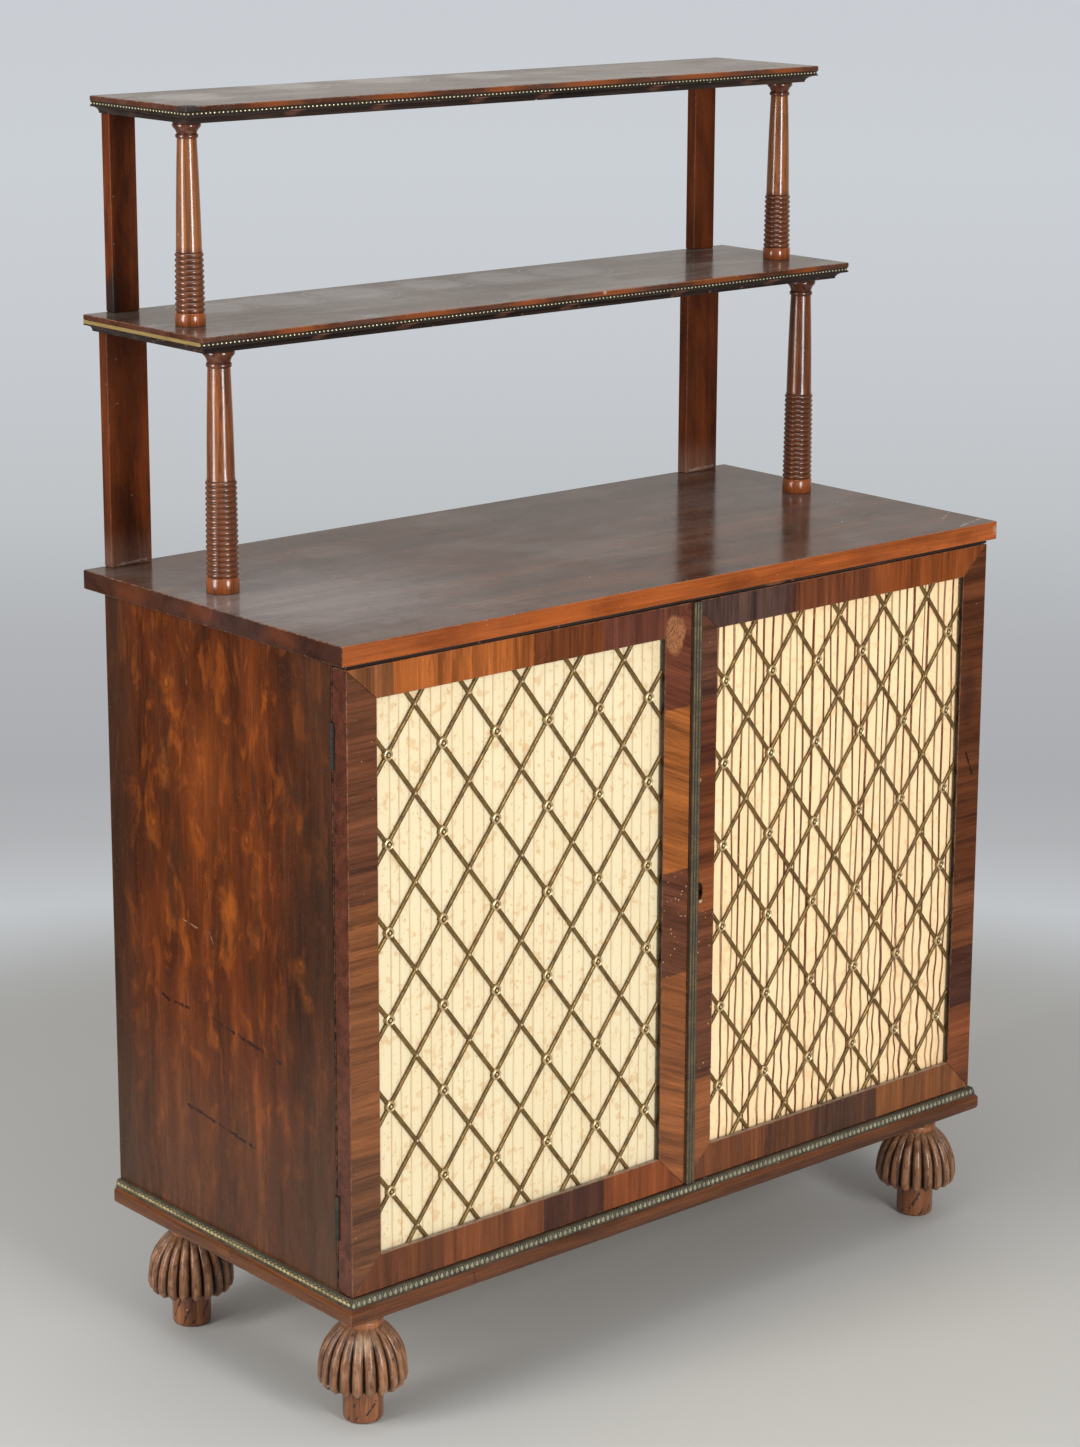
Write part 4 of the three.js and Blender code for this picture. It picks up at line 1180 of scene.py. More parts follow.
def finish_piece(name: str, mesh: bpy.types.Mesh, material: bpy.types.Material, body: str,
                 nodes: Iterable[str] = ()) -> bpy.types.Object:
    """Puts a finished mesh on its body.

    Args:
        name: the piece's name.
        mesh: its mesh.
        material: its finish.
        body: the body that it rides on.
        nodes: the CAD nodes that it stands for.

    Returns:
        The piece.
    """
    mesh.materials.clear()
    mesh.materials.append(material)
    piece = put(name, mesh)
    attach(piece, body)
    if nodes:
        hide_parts(*nodes)
    log.info("%s: %d faces on %s", name, len(mesh.polygons), body)
    return piece


def body_of(node: str) -> str:
    """The body that a CAD node is part of."""
    return frame["nodes"][node]["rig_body"]


def box_mm(node: str) -> list[list[float]]:
    """The lowest and the highest corner of a CAD node, in millimetres."""
    return [[v * 1000 for v in corner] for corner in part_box(node)]


def dress(node: str, finish: WoodFinish, grain: Grain, seed: float, marks: Sequence[Mark] = (),
          radius: float = 0.8, steps: int = 2) -> bpy.types.Object:
    """Replaces a wooden CAD node by its own shape with eased edges and a finish.

    Args:
        node: the node's name.
        finish: the wood.
        grain: which way the grain runs.
        seed: moves the figure.
        marks: this piece's patches and scratches.
        radius: how wide the eased edges are, in millimetres.
        steps: segments across an eased edge.

    Returns:
        The piece.
    """
    material = finish.make(node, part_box(node), grain, seed, marks)
    return finish_piece(node + "_finished", soften(node, radius, steps), material, body_of(node), [node])


def dress_metal(node: str, finish: MetalFinish, radius: float = 0.3, seed: float = 0.0) -> bpy.types.Object:
    """Replaces a metal CAD node by its own shape with eased edges and a finish."""
    return finish_piece(node + "_finished", soften(node, radius), finish.make(node, seed),
                        body_of(node), [node])


# Geometry Nodes

class Form:
    """A Geometry Nodes tree with named inputs, which makes a plain mesh from an object's points or edges."""

    def __init__(self, name: str, inputs: dict[str, str], draw: Callable[[Graph, Any], Socket]) -> None:
        """Builds the tree.

        Args:
            name: the tree's name.
            inputs: the socket type of each input, by name.
            draw: writes the nodes from the input sockets and returns the instances or mesh.
        """
        self.tree = bpy.data.node_groups.new(name, "GeometryNodeTree")
        face = self.tree.interface
        face.new_socket(name="Geometry", in_out="INPUT", socket_type="NodeSocketGeometry")
        kinds = inputs | {"Material": "Material"}
        self.keys = {label: face.new_socket(name=label, in_out="INPUT", socket_type="NodeSocket" + kind).identifier
                     for label, kind in kinds.items()}
        face.new_socket(name="Geometry", in_out="OUTPUT", socket_type="NodeSocketGeometry")
        g = Graph(self.tree)
        ins = g.add("NodeGroupInput").outputs
        real = g.add("GeometryNodeRealizeInstances", {0: draw(g, ins)}).outputs[0]
        done = g.add("GeometryNodeSetMaterial", {"Geometry": real, "Material": ins["Material"]}).outputs[0]
        g.add("NodeGroupOutput", {0: done})

    def make(self, name: str, base: bpy.types.Mesh, **values: Any) -> bpy.types.Mesh:
        """Runs the tree.

        Args:
            name: a name for the work.
            base: the mesh whose points or edges it follows.
            values: the inputs' values.

        Returns:
            The plain mesh.
        """
        piece = put(name + "_setting_out", base)
        modifier = piece.modifiers.new("form", "NODES")
        modifier.node_group = self.tree
        for key, value in values.items():
            modifier[self.keys[key]] = value
        return plain(piece)


def set_on_points(g: Graph, i: Any) -> Socket:
    """Sets a small part on every point, its Z along the point's facing, turned by chance about it.

    Args:
        g: the form's graph.
        i: its inputs by name.

    Returns:
        The geometry that comes out.
    """
    part = g.add("GeometryNodeObjectInfo", {"Object": i["Part"]}).outputs["Geometry"]
    facing = g.add("GeometryNodeInputNamedAttribute", {"Name": "facing"}, data_type="FLOAT_VECTOR").outputs[0]
    aligned = g.add("FunctionNodeAlignRotationToVector", {"Vector": facing}, axis="Z").outputs[0]
    chance = g.add("FunctionNodeRandomValue", {2: 0.0, 3: i["Turn"], "Seed": i["Seed"]}, data_type="FLOAT")
    spin = g.add("ShaderNodeCombineXYZ", {2: chance.outputs[1]}).outputs[0]
    rotation = g.add("FunctionNodeRotateRotation", {0: aligned, 1: spin}, rotation_space="LOCAL").outputs[0]
    return g.add("GeometryNodeInstanceOnPoints",
                 {"Points": i["Geometry"], "Instance": part, "Rotation": rotation}).outputs[0]


def drawn_along_edges(g: Graph, i: Any) -> Socket:
    """Draws an oval rod along every edge.

    Args:
        g: the form's graph.
        i: its inputs by name.

    Returns:
        The geometry that comes out.
    """
    path = g.add("GeometryNodeMeshToCurve", {0: i["Geometry"]}).outputs[0]
    path = g.add("GeometryNodeSetCurveNormal", {0: path}, mode="Z_UP").outputs[0]
    ring = g.add("GeometryNodeCurvePrimitiveCircle", {"Resolution": 12, "Radius": 0.5}, mode="RADIUS").outputs[0]
    size = g.add("ShaderNodeCombineXYZ", {0: i["Thickness"], 1: i["Width"], 2: 1.0}).outputs[0]
    oval = g.add("GeometryNodeTransform", {"Geometry": ring, "Scale": size}).outputs[0]
    return g.add("GeometryNodeCurveToMesh", {"Curve": path, "Profile Curve": oval, "Fill Caps": True}).outputs[0]


class Repeats:
    """The two Geometry Nodes forms, built once."""

    studs: Form
    rods: Form

    @classmethod
    def build(cls) -> None:
        """Builds both trees."""
        cls.studs = Form("studs on points", {"Part": "Object", "Turn": "Float", "Seed": "Int"}, set_on_points)
        cls.rods = Form("rods on edges", {"Width": "Float", "Thickness": "Float"}, drawn_along_edges)


def studded(name: str, part: bpy.types.Mesh, places: Sequence[Place], facing: Place, material: bpy.types.Material,
            body: str = "carcase", turn: float = 0.0, seed: int = 1) -> None:
    """Puts a small part on every place of a row, all as one piece.

    Args:
        name: the piece's name.
        part: the small part, about its own origin, in metres.
        places: where each one goes, in millimetres.
        facing: which way they look.
        material: the finish.
        body: the body that the row rides on.
        turn: the greatest turn by chance, in radians.
        seed: picks the chance.
    """
    base = bare(name, places)
    looks = np.array([facing] * len(places), np.float32).ravel()
    base.attributes.new("facing", "FLOAT_VECTOR", "POINT").data.foreach_set("vector", looks)
    part.materials.clear()
    part.materials.append(material)
    one = put(name + "_part", part)
    mesh = Repeats.studs.make(name, base, Part=one, Turn=turn, Seed=seed, Material=material)
    bpy.data.objects.remove(one)
    smooth(mesh, 40)
    finish_piece(name, mesh, material, body)


def ball(radius: float, squash: float = 1.0) -> bpy.types.Mesh:
    """A small low ball, or half flattened along Z, in millimetres.

    Args:
        radius: its radius.
        squash: its height as a share of its width.

    Returns:
        The mesh.
    """
    profile = [(0, -radius * squash)] + [(radius * math.cos(a), radius * squash * math.sin(a))
                                         for a in (math.radians(d) for d in (-40, 0, 40))] + [(0, radius * squash)]
    return mesh_of("ball", *turned(profile, 8), sharp=80)


def screw(radius: float) -> bpy.types.Mesh:
    """A countersunk screw head with its slot, in millimetres.

    Args:
        radius: its radius.

    Returns:
        The mesh.
    """
    half, deep = radius * 0.16, radius * 0.3
    sides = 16
    rim = [(radius * math.cos(2 * math.pi * k / sides), radius * math.sin(2 * math.pi * k / sides))
           for k in range(sides)]
    points = [(x, y, 0.0) for x, y in rim] + [(x * 0.97, y * 0.97, radius * 0.12) for x, y in rim]
    faces = [[k, (k + 1) % sides, sides + (k + 1) % sides, sides + k] for k in range(sides)]
    x = radius * 0.93
    box = [(-x, -half), (x, -half), (x, half), (-x, half)]
    first = len(points)
    points += [(a, b, radius * 0.13) for a, b in box] + [(a, b, radius * 0.13 - deep) for a, b in box]
    faces += [[first + 4 + k for k in range(4)]]
    faces += [[first + k, first + (k + 1) % 4, first + 4 + (k + 1) % 4, first + 4 + k] for k in range(4)]
    top = [sides + k for k in range(sides)]
    upper, lower = top[: sides // 2 + 1], [*top[sides // 2:], top[0]]
    faces += [[*upper, first + 3, first + 2], [*lower, first + 1, first + 0]]
    return bare("screw", points, faces)


# The case

class Side(Enum):
    """Left or right, as seen from the front."""

    LEFT = -1
    RIGHT = 1

    @property
    def word(self) -> str:
        """The side's name."""
        return self.name.lower()


@dataclass
class Case:
    """Top, sides, floor, back, frieze rail and inner shelf."""

    arris: float = 1.0
    top_z: float = 820.0
    ring_radius: float = 47.0
    counter_rings: tuple[tuple[float, float], ...] = ((-207, 124), (-2, 170), (207, 181), (-318, 60))
    nail_pitch: float = 42.7
    nail_rows: tuple[float, ...] = (789.0, 160.0)

    def counter(self) -> None:
        """The polished top, with rings, scratches, an orange front edge and pale patches of painted reflection."""
        z = self.top_z
        marks = [
            # The three pale grey patches below are painted reflection of the pale backdrop on the polish.
            Blot((-390, -60, z), 170, (0.26, 0.225, 0.215), 0.45, 0.95, waver=60),
            Blot((-330, -20, z), 230, (0.25, 0.225, 0.22), 0.5, 0.95, waver=90),
            Blot((180, 60, z), 220, (0.15, 0.11, 0.095), 0.3, 0.9),
            Mottle((0.18, 0.152, 0.14), 0.3, (170, 120, 100), 0.44, 0.68, 1, detail=2),
            Mottle((0.034, 0.018, 0.013), 0.42, (150, 80, 80), 0.52, 0.7, 3, detail=3),
            Hairlines((0, 0, 0.4), 0.25, (0.34, 0.29, 0.25)), Hairlines((0, 0, -1.1), 0.2, (0.3, 0.25, 0.22), 1.6),
            Flecks(26, 0.045, 0.4, (0.75, 0.72, 0.66), share=0.9),
            Stroke((452, -196, z), (404, -211, z), 1.6, (0.45, 0.32, 0.24), 0.7, 4, 0.45),
            Stroke((420, -170, z), (452, -150, z), 1.2, (0.42, 0.3, 0.22), 0.6, 4, 0.5),
            Stroke((-452, -204, z), (-419, -213, z), 0.9, (0.03, 0.015, 0.01), 0.9, 3, 0.3, -0.6),
            Band((0, -1, 0), 216.6, 230, (0.29, 0.07, 0.014), 0.9, 0.4, 0.6),
            Band((-1, 0, 0), 456.2, 470, (0.04, 0.012, 0.006), 0.9, 0.4, 0.6),
            *[Blot((-457.5, y, 812), r, (0.15, 0.038, 0.01), 0.5, 0.9, (1, 0.3, 0.8), waver=12)
              for y, r in ((130, 15), (20, 12), (-120, 12))],
            *[Blot((x, -220, 808), r, (0.13, 0.028, 0.007), 0.5, 0.9, (0.4, 1, 1.2), waver=16)
              for x, r in ((-330, 24), (-120, 16), (60, 14), (250, 26), (400, 14))],
            Flecks(4, 0.28, 0.1, (0.44, 0.22, 0.1), (0, -1, 0), 218, 230),
            Flecks(6, 0.24, 0.1, (0.06, 0.018, 0.008), (0, -1, 0), 218, 230),
            Flecks(13, 0.2, 0.2, (0.46, 0.28, 0.17), (0, -1, 0), 214, 230),
            Blot((455, -216, 811), 8, (0.4, 0.23, 0.14), 0.6, 0.9, rough=0.6),
        ]
        marks[2:2] = [RingMark((x, y, z), self.ring_radius + 3 * (k % 2))
                      for k, (x, y) in enumerate(self.counter_rings)]
        dress("top_board", TOP_WOOD, Grain.ACROSS, 3.0, marks, self.arris, 3)

    def clouds(self, seed: int) -> list[Mark]:
        """The golden and the dark patches of a side's veneer."""
        return [Mottle((0.285, 0.066, 0.007), 0.6, (60, 26, 56), 0.5, 0.68, seed),
                Mottle((0.036, 0.016, 0.007), 0.55, (60, 34, 110), 0.5, 0.7, seed + 3)]

    def sides(self) -> None:
        """The two sides, with knots, scratches, darker edges and a painted shadow line along the left side's front
        edge.
        """
        x = -448.0
        glow = (0.36, 0.09, 0.01)
        marks = [
            *self.clouds(2),
            Fade((0, 1, 0), 120, 190, (0.03, 0.014, 0.008), 0.8), Fade((0, -1, 0), 60, 185, (0.036, 0.019, 0.011), 0.7),
            Fade((0, 0, -1), -460, -170, (0.066, 0.033, 0.017), 0.6),
            Blot((x, -150, 500), 95, (0.026, 0.012, 0.007), 0.6, 0.95, (1, 1.3, 0.5), waver=40),
            Blot((x, 20, 650), 75, (0.2, 0.05, 0.01), 0.35, 0.95, (1, 1, 0.55), waver=60),
            Blot((x, -15, 512), 24, (0.4, 0.1, 0.01), 0.5, 0.95, (1, 1.2, 0.6), waver=44),
            # A painted shadow line along the gap at the side's front edge.
            Band((0, -1, 0), 186.8, 190, SHADE, 0.9, 0.4, 0.5),
            *[Knot((x, y, z), r, glow) for y, z, r in (
                (96, 630, 17), (116, 565, 19), (89, 468, 10), (-134, 479, 15), (-142, 446, 12), (-134, 625, 9),
                (-47, 585, 15), (88, 720, 18))],
            Stroke((x, 66, 478), (x, 42, 475), 0.8, (0.42, 0.26, 0.17), 0.5, 3, 0.45),
            Stroke((x, 21, 476), (x, 14, 465), 0.8, (0.45, 0.3, 0.2), 0.6, 2, 0.3),
            Stroke((x, 56, 756), (x, 27, 619), 1.3, (0.26, 0.08, 0.024), 0.4, 10, 0.5),
            Stroke((x, 106, 387), (x, 94, 383), 2.4, (0.012, 0.006, 0.005), 0.9, 4, 0.3),
            Stroke((x, 84, 384), (x, 60, 384), 2.2, (0.012, 0.006, 0.005), 0.9, 5, 0.4),
            Stroke((x, 18, 384), (x, -104, 368), 2.2, (0.014, 0.007, 0.006), 0.9, 8, 0.46),
            Stroke((x, 64, 277), (x, -55, 264), 2.2, (0.016, 0.008, 0.006), 0.9, 8, 0.44),
            Hairlines((0.5, 1.4, 0), 0.3, (0.33, 0.2, 0.13)), Flecks(34, 0.1, 0.25, (0.36, 0.24, 0.16), share=0.7),
        ]
        dress("left_side", SIDE_WOOD, Grain.UPRIGHT, 11.0, marks, 1.0)
        dress("right_side", SIDE_WOOD, Grain.UPRIGHT, 23.0,
              [*self.clouds(12), Fade((0, 1, 0), 120, 190, (0.04, 0.018, 0.01), 0.7),
               Knot((-x, -20, 420), 18, glow), Knot((-x, 70, 600), 14, glow),
               Hairlines((0.4, 1.2, 0), 0.3, (0.33, 0.2, 0.13)), Flecks(30, 0.1, 0.25, (0.36, 0.24, 0.16), share=0.7)],
               1.0)

    def inside(self) -> None:
        """Floor, back, shelf and bearers, which show when a door is open, and the frieze rail."""
        dress("bottom_board", PINE, Grain.ACROSS, 31.0, (), 0.6)
        knots = [Knot((x, 190, z), r, (0.2, 0.095, 0.04), (1.2, 0.0, 0.8)) for x, z, r in (
            (-372, 640, 15), (-301, 330, 11), (-148, 560, 17), (-60, 250, 13), (72, 690, 12), (168, 420, 18),
            (262, 610, 10), (371, 300, 15))]
        dress("back_panel", PINE, Grain.UPRIGHT, 37.0, [*knots, Flecks(40, 0.08, 0.3, (0.1, 0.06, 0.04))], 0.5)
        dress("inner_shelf", PINE, Grain.ACROSS, 41.0, [Band((0, -1, 0), 163, 175, (0.12, 0.05, 0.025), 0.8, 0.6)], 0.8)
        for side in Side:
            dress(f"{side.word}_shelf_bearer", PINE, Grain.DEEP, 43.0 + side.value, (), 0.8)
        dress("frieze_rail", EBONISED, Grain.ACROSS, 47.0,
              [Blot((120, -210.75, 798), 16, (0.17, 0.06, 0.03), 0.8, 0.6), Flecks(13, 0.2, 0.2, (0.13, 0.05, 0.03))],
              0.5)

    def nails(self) -> None:
        """Two rows of nails through the back boards."""
        back = box_mm("back_panel")[1][1]
        places = [(float(x), back + 0.1, z) for z in self.nail_rows for x in np.arange(-420, 421, self.nail_pitch)]
        studded("back_nails", ball(2.2, 0.3), places, (0, 1, 0), IRON.make("back_nails", 5.0))

    def build(self) -> None:
        """Makes the whole case."""
        self.counter()
        self.sides()
        self.inside()
        self.nails()


@dataclass
class Plinth:
    """The rounded moulding round the foot of the case, with its stamped brass strip."""

    half_width: float = 448.0
    front: float = -211.75
    back: float = 195.25
    low: float = 127.0
    height: float = 18.5
    out: float = 8.5
    round: float = 5.0
    strip_out: float = 5.6
    strip_height: float = 8.0
    leaf_pitch: float = 6.6

    def path(self) -> list[tuple[float, float]]:
        """The plan of the moulding's back."""
        return [(-self.half_width, self.back), (-self.half_width, self.front),
                (self.half_width, self.front), (self.half_width, self.back)]

    def section(self, inner: float) -> list[tuple[float, float]]:
        """The moulding's section, from its flat back round its two soft edges.

        Args:
            inner: how far out the flat back lies.

        Returns:
            Distances outwards and upwards.
        """
        lower = arc((self.out - self.round, self.round), self.round, -90, 0, 6)
        upper = arc((self.out - self.round, self.height - self.round), self.round, 0, 60, 5)
        return [(inner, 0), *lower, *upper, (self.out - self.round, self.height), (inner, self.height)]

    def moulding(self) -> None:
        """Left, front and right lengths, mitred at the corners."""
        section = self.section(0.05)
        n = len(section)
        points, _ = mitred(section, self.path(), self.low)
        orange, red = (0.14, 0.045, 0.01), (0.082, 0.028, 0.01)
        runs = {"plinth_left": (0, orange, Grain.DEEP), "plinth_front": (1, red, Grain.ACROSS),
                "plinth_right": (2, orange, Grain.DEEP)}
        for word, (k, colour, grain) in runs.items():
            shell = (points[k * n: k * n + 2 * n], run(2, n))
            if word == "plinth_front":
                shell = joined(shell, self.rail())
            name = word + "_moulding"
            y = self.front - self.out
            marks = [Band(ALONG, -1000, 1000, colour, 0.7, 1, 0), Flecks(15, 0.22, 0.2, (0.42, 0.26, 0.17)),
                     Flecks(6, 0.25, 0.12, (0.03, 0.015, 0.01)),
                     Stroke((-300, y, 146), (-296, y, 127), 1.0, (0.02, 0.01, 0.01), 0.8)]
            material = ROSEWOOD.make(name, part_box(word), grain, 50.0 + k, marks)
            finish_piece(name, mesh_of(name, *shell), material, "carcase", [word])

    def rail(self) -> tuple[list, list]:
        """The rail behind the front moulding, which the doors close against.

        Returns:
            Points and faces.
        """
        y = (self.front + 0.2, self.front + 22.9)
        z = (self.low + 0.1, self.low + self.height + self.strip_height)
        points = [(sx * self.half_width, py, pz) for sx in (-1, 1) for py in y for pz in z]
        return points, [[0, 1, 3, 2], [4, 6, 7, 5], [0, 4, 5, 1], [2, 3, 7, 6], [0, 2, 6, 4], [1, 5, 7, 3]]

    def strip(self) -> None:
        """The brass strip: a plain back with a row of stamped leaves on it."""
        z = self.low + self.height + 0.1
        h, out = self.strip_height - 0.1, self.strip_out
        section = [(0.1, 0), (out + 0.5, 0), (out + 0.7, 0.3), (out + 0.5, 0.7), (out, 0.9), (out, 1.5),
                   (out - 0.9, h - 1.9), (out - 1.4, h - 1.5), (out - 1.2, h - 0.9), (out - 1.9, h), (0.1, h)]
        material = STRIP_BRASS.make("plinth_strip", 2.0)
        strip = mesh_of("plinth_strip", *mitred(section, self.path(), z))
        finish_piece("plinth_strip", strip, material, "carcase", ["plinth_beading"])
        pale = LEAF_BRASS.make("plinth_strip_leaves", 2.5)
        golden = END_LEAF_BRASS.make("plinth_strip_end_leaves", 2.7)
        x, y, middle = self.half_width + out - 0.35, self.front - out + 0.35, z + h / 2
        row = [(float(v), y, middle) for v in np.arange(-x + 2.7, x - 2, self.leaf_pitch)]
        studded("plinth_strip_leaves", self.leaf(), row, (0, -1, 0), pale)
        for side in Side:
            row = [(side.value * x, float(v), middle) for v in np.arange(self.back - 4, y + 2, -self.leaf_pitch)]
            studded(f"plinth_strip_{side.word}_leaves", self.leaf(), row, (side.value, 0, 0), golden)

    def leaf(self) -> bpy.types.Mesh:
        """One stamped leaf: a pointed petal with a midrib and a small dart beside it, lying in X and Y.

        Returns:
            The mesh.
        """
        wide, tall = self.leaf_pitch * 0.34, self.strip_height * 0.4
        petal = [(-wide, -tall * 0.2, 0), (-wide * 0.5, -tall, 0), (wide * 0.5, -tall, 0), (wide, -tall * 0.2, 0),
                 (wide * 0.45, tall * 0.6, 0), (0, tall, 0), (-wide * 0.45, tall * 0.6, 0), (0, -tall * 0.35, 1.7),
                 (0, tall * 0.45, 1.2)]
        faces = [[0, 1, 7], [1, 2, 7], [2, 3, 7], [3, 4, 8], [3, 8, 7], [4, 5, 8], [5, 6, 8], [6, 0, 8], [0, 7, 8],
                 [6, 5, 4, 3, 2, 1, 0]]
        edge = self.leaf_pitch / 2
        dart = [(edge - 0.3, tall, 0), (edge + 0.3, tall, 0), (edge + 0.2, -tall * 0.2, 0),
                (edge - 0.2, -tall * 0.2, 0), (edge, tall * 0.5, 0.6)]
        more = [[0, 4, 1], [1, 4, 2], [2, 4, 3], [3, 4, 0], [0, 1, 2, 3]]
        return mesh_of("leaf", *joined((petal, faces), (dart, more)), sharp=25)

    def build(self) -> None:
        """Makes the moulding and the strip."""
        self.moulding()
        self.strip()


@dataclass
class Feet:
    """Four bun feet carved with lobes, each on a plain stub."""

    x: float = 406.0
    front_y: float = -172.75
    back_y: float = 127.25
    radius: float = 46.4
    lobes: int = 20
    lobe_depth: float = 5.2
    dome_foot: float = 37.0
    dome_head: float = 104.0
    top: float = 127.0
    collar: float = 21.5
    stub: float = 20.7
    across: int = 12
    shares: tuple[tuple[float, float, float], ...] = (
        (0.5, 0.06, 0.1), (0.72, 0.018, 0.55), (0.88, 0.035, 0.9), (0.965, 0.1, 1.0), (1.0, 0.2, 1.0),
        (0.985, 0.34, 0.97), (0.95, 0.49, 0.92), (0.895, 0.61, 0.86), (0.82, 0.72, 0.76), (0.735, 0.81, 0.62),
        (0.64, 0.89, 0.44), (0.45, 1.0, 0.18))

    def dome(self, centre: Place) -> tuple[list, list, list]:
        """The lobed dome: each lobe is a round rib between two sharp grooves, and its lower tip is rounded.

        Args:
            centre: the middle of the foot on the floor.

        Returns:
            Points, faces and how deep each point lies in a groove.
        """
        sides = self.lobes * self.across
        height = self.dome_head - self.dome_foot
        last = len(self.shares) - 1
        steps = np.linspace(0, last, 3 * last + 1)
        rows = [np.interp(steps, range(last + 1), [s[k] for s in self.shares]) for k in range(3)]
        points, depth, rings = [], [], []
        for k, (r, h, lobe) in enumerate(zip(*rows)):
            rings.append(range(len(points), len(points) + sides))
            for i in range(sides):
                u = ((i / self.across) % 1) * 2 - 1
                drop = (1 - math.sqrt(max(0.0, 1 - (0.96 * u) ** 2))) / (1 - math.sqrt(1 - 0.96 ** 2))
                a = 2 * math.pi * i / sides
                out = self.radius * r - self.lobe_depth * lobe * drop
                lift = 8.0 * u * u * max(0.0, 1 - h / 0.12)
                points.append((centre[0] + out * math.cos(a), centre[1] + out * math.sin(a),
                               self.dome_foot + h * height + lift))
                depth.append(min(1.0, drop * (0.3 + lobe)))
        faces = skin(rings, sides)
        faces += [list(rings[0])[::-1], list(rings[-1])]
        return points, faces, depth

    def shell(self, centre: Place) -> bpy.types.Mesh:
        """One whole foot.

        Args:
            centre: where the foot stands.

        Returns:
            The mesh.
        """
        points, faces, depth = self.dome(centre)
        stub = turned([(0, 0), (self.stub - 4.0, 0), (self.stub - 1.6, 0.9), (self.stub - 0.4, 2.6), (self.stub, 5.0),
                       (self.stub, 30), (self.stub - 0.4, 42), (0, 52)], ROUND, centre)
        c = self.collar
        z = self.dome_head
        neck = turned([(0, z - 6), (c - 2, z - 2), (c - 0.3, z + 0.3), (c, z + 2), (c, z + 5), (c - 0.5, z + 6.5),
                       (c - 2.2, z + 7.2), (c - 2.2, z + 8.2), (c - 0.8, z + 9), (c - 0.2, z + 11),
                       (c - 0.2, self.top - 1), (c - 1, self.top - 0.1), (0, self.top - 0.1)], ROUND, centre)
        all_points, all_faces = joined((points, faces), stub, neck)
        depth += [0.4] * (len(all_points) - len(depth))
        return mesh_of("foot", all_points, all_faces, 50, {"depth": depth})

    def build(self) -> None:
        """Makes the four feet; the left one at the front has a pale rubbed patch."""
        places = {"front_left_foot": (-self.x, self.front_y), "front_right_foot": (self.x, self.front_y),
                  "back_left_foot": (-self.x, self.back_y), "back_right_foot": (self.x, self.back_y)}
        for k, (name, (x, y)) in enumerate(places.items()):
            marks: list[Mark] = [
                Mottle((0.085, 0.03, 0.012), (0.45, 0.2, 0.8, 0.5)[k], (20, 20, 34), 0.48, 0.66, k),
                Hollows((0.012, 0.005, 0.003), 0.95, 0.28, 0.8), Crests((0.42, 0.25, 0.15), 0.4),
                Band((0, 0, 1), -1, 36, (0.2, 0.07, 0.026), 0.7), Flecks(9, 0.16, 0.25, (0.45, 0.34, 0.25)),
                Band((0, 0, 1), self.dome_head, self.dome_head + 7, (0.3, 0.11, 0.04), 0.7, 0.4, 0.5)]
            if name == "front_left_foot":
                marks.append(Blot((x - 18, y - 26, 94), 15, (0.4, 0.27, 0.17), 0.65, 0.8, rough=0.65))
            for v in range(12):
                a = 0.53 * v + k
                foot, head = ((x + self.stub * math.cos(b), y + self.stub * math.sin(b))
                              for b in (a, a + 0.75 + 0.3 * math.sin(v * 2.1)))
                marks.append(Stroke((*foot, 1 + 5 * (v % 3)), (*head, 24 + 5 * (v % 4)), 1.7, (0.018, 0.008, 0.006),
                                    0.9, 5, 0.42))
            material = CARVED.make(name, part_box(name), Grain.UPRIGHT, 60.0 + 3 * k, marks)
            finish_piece(name + "_carved", self.shell((x, y, 0)), material, "carcase", [name])


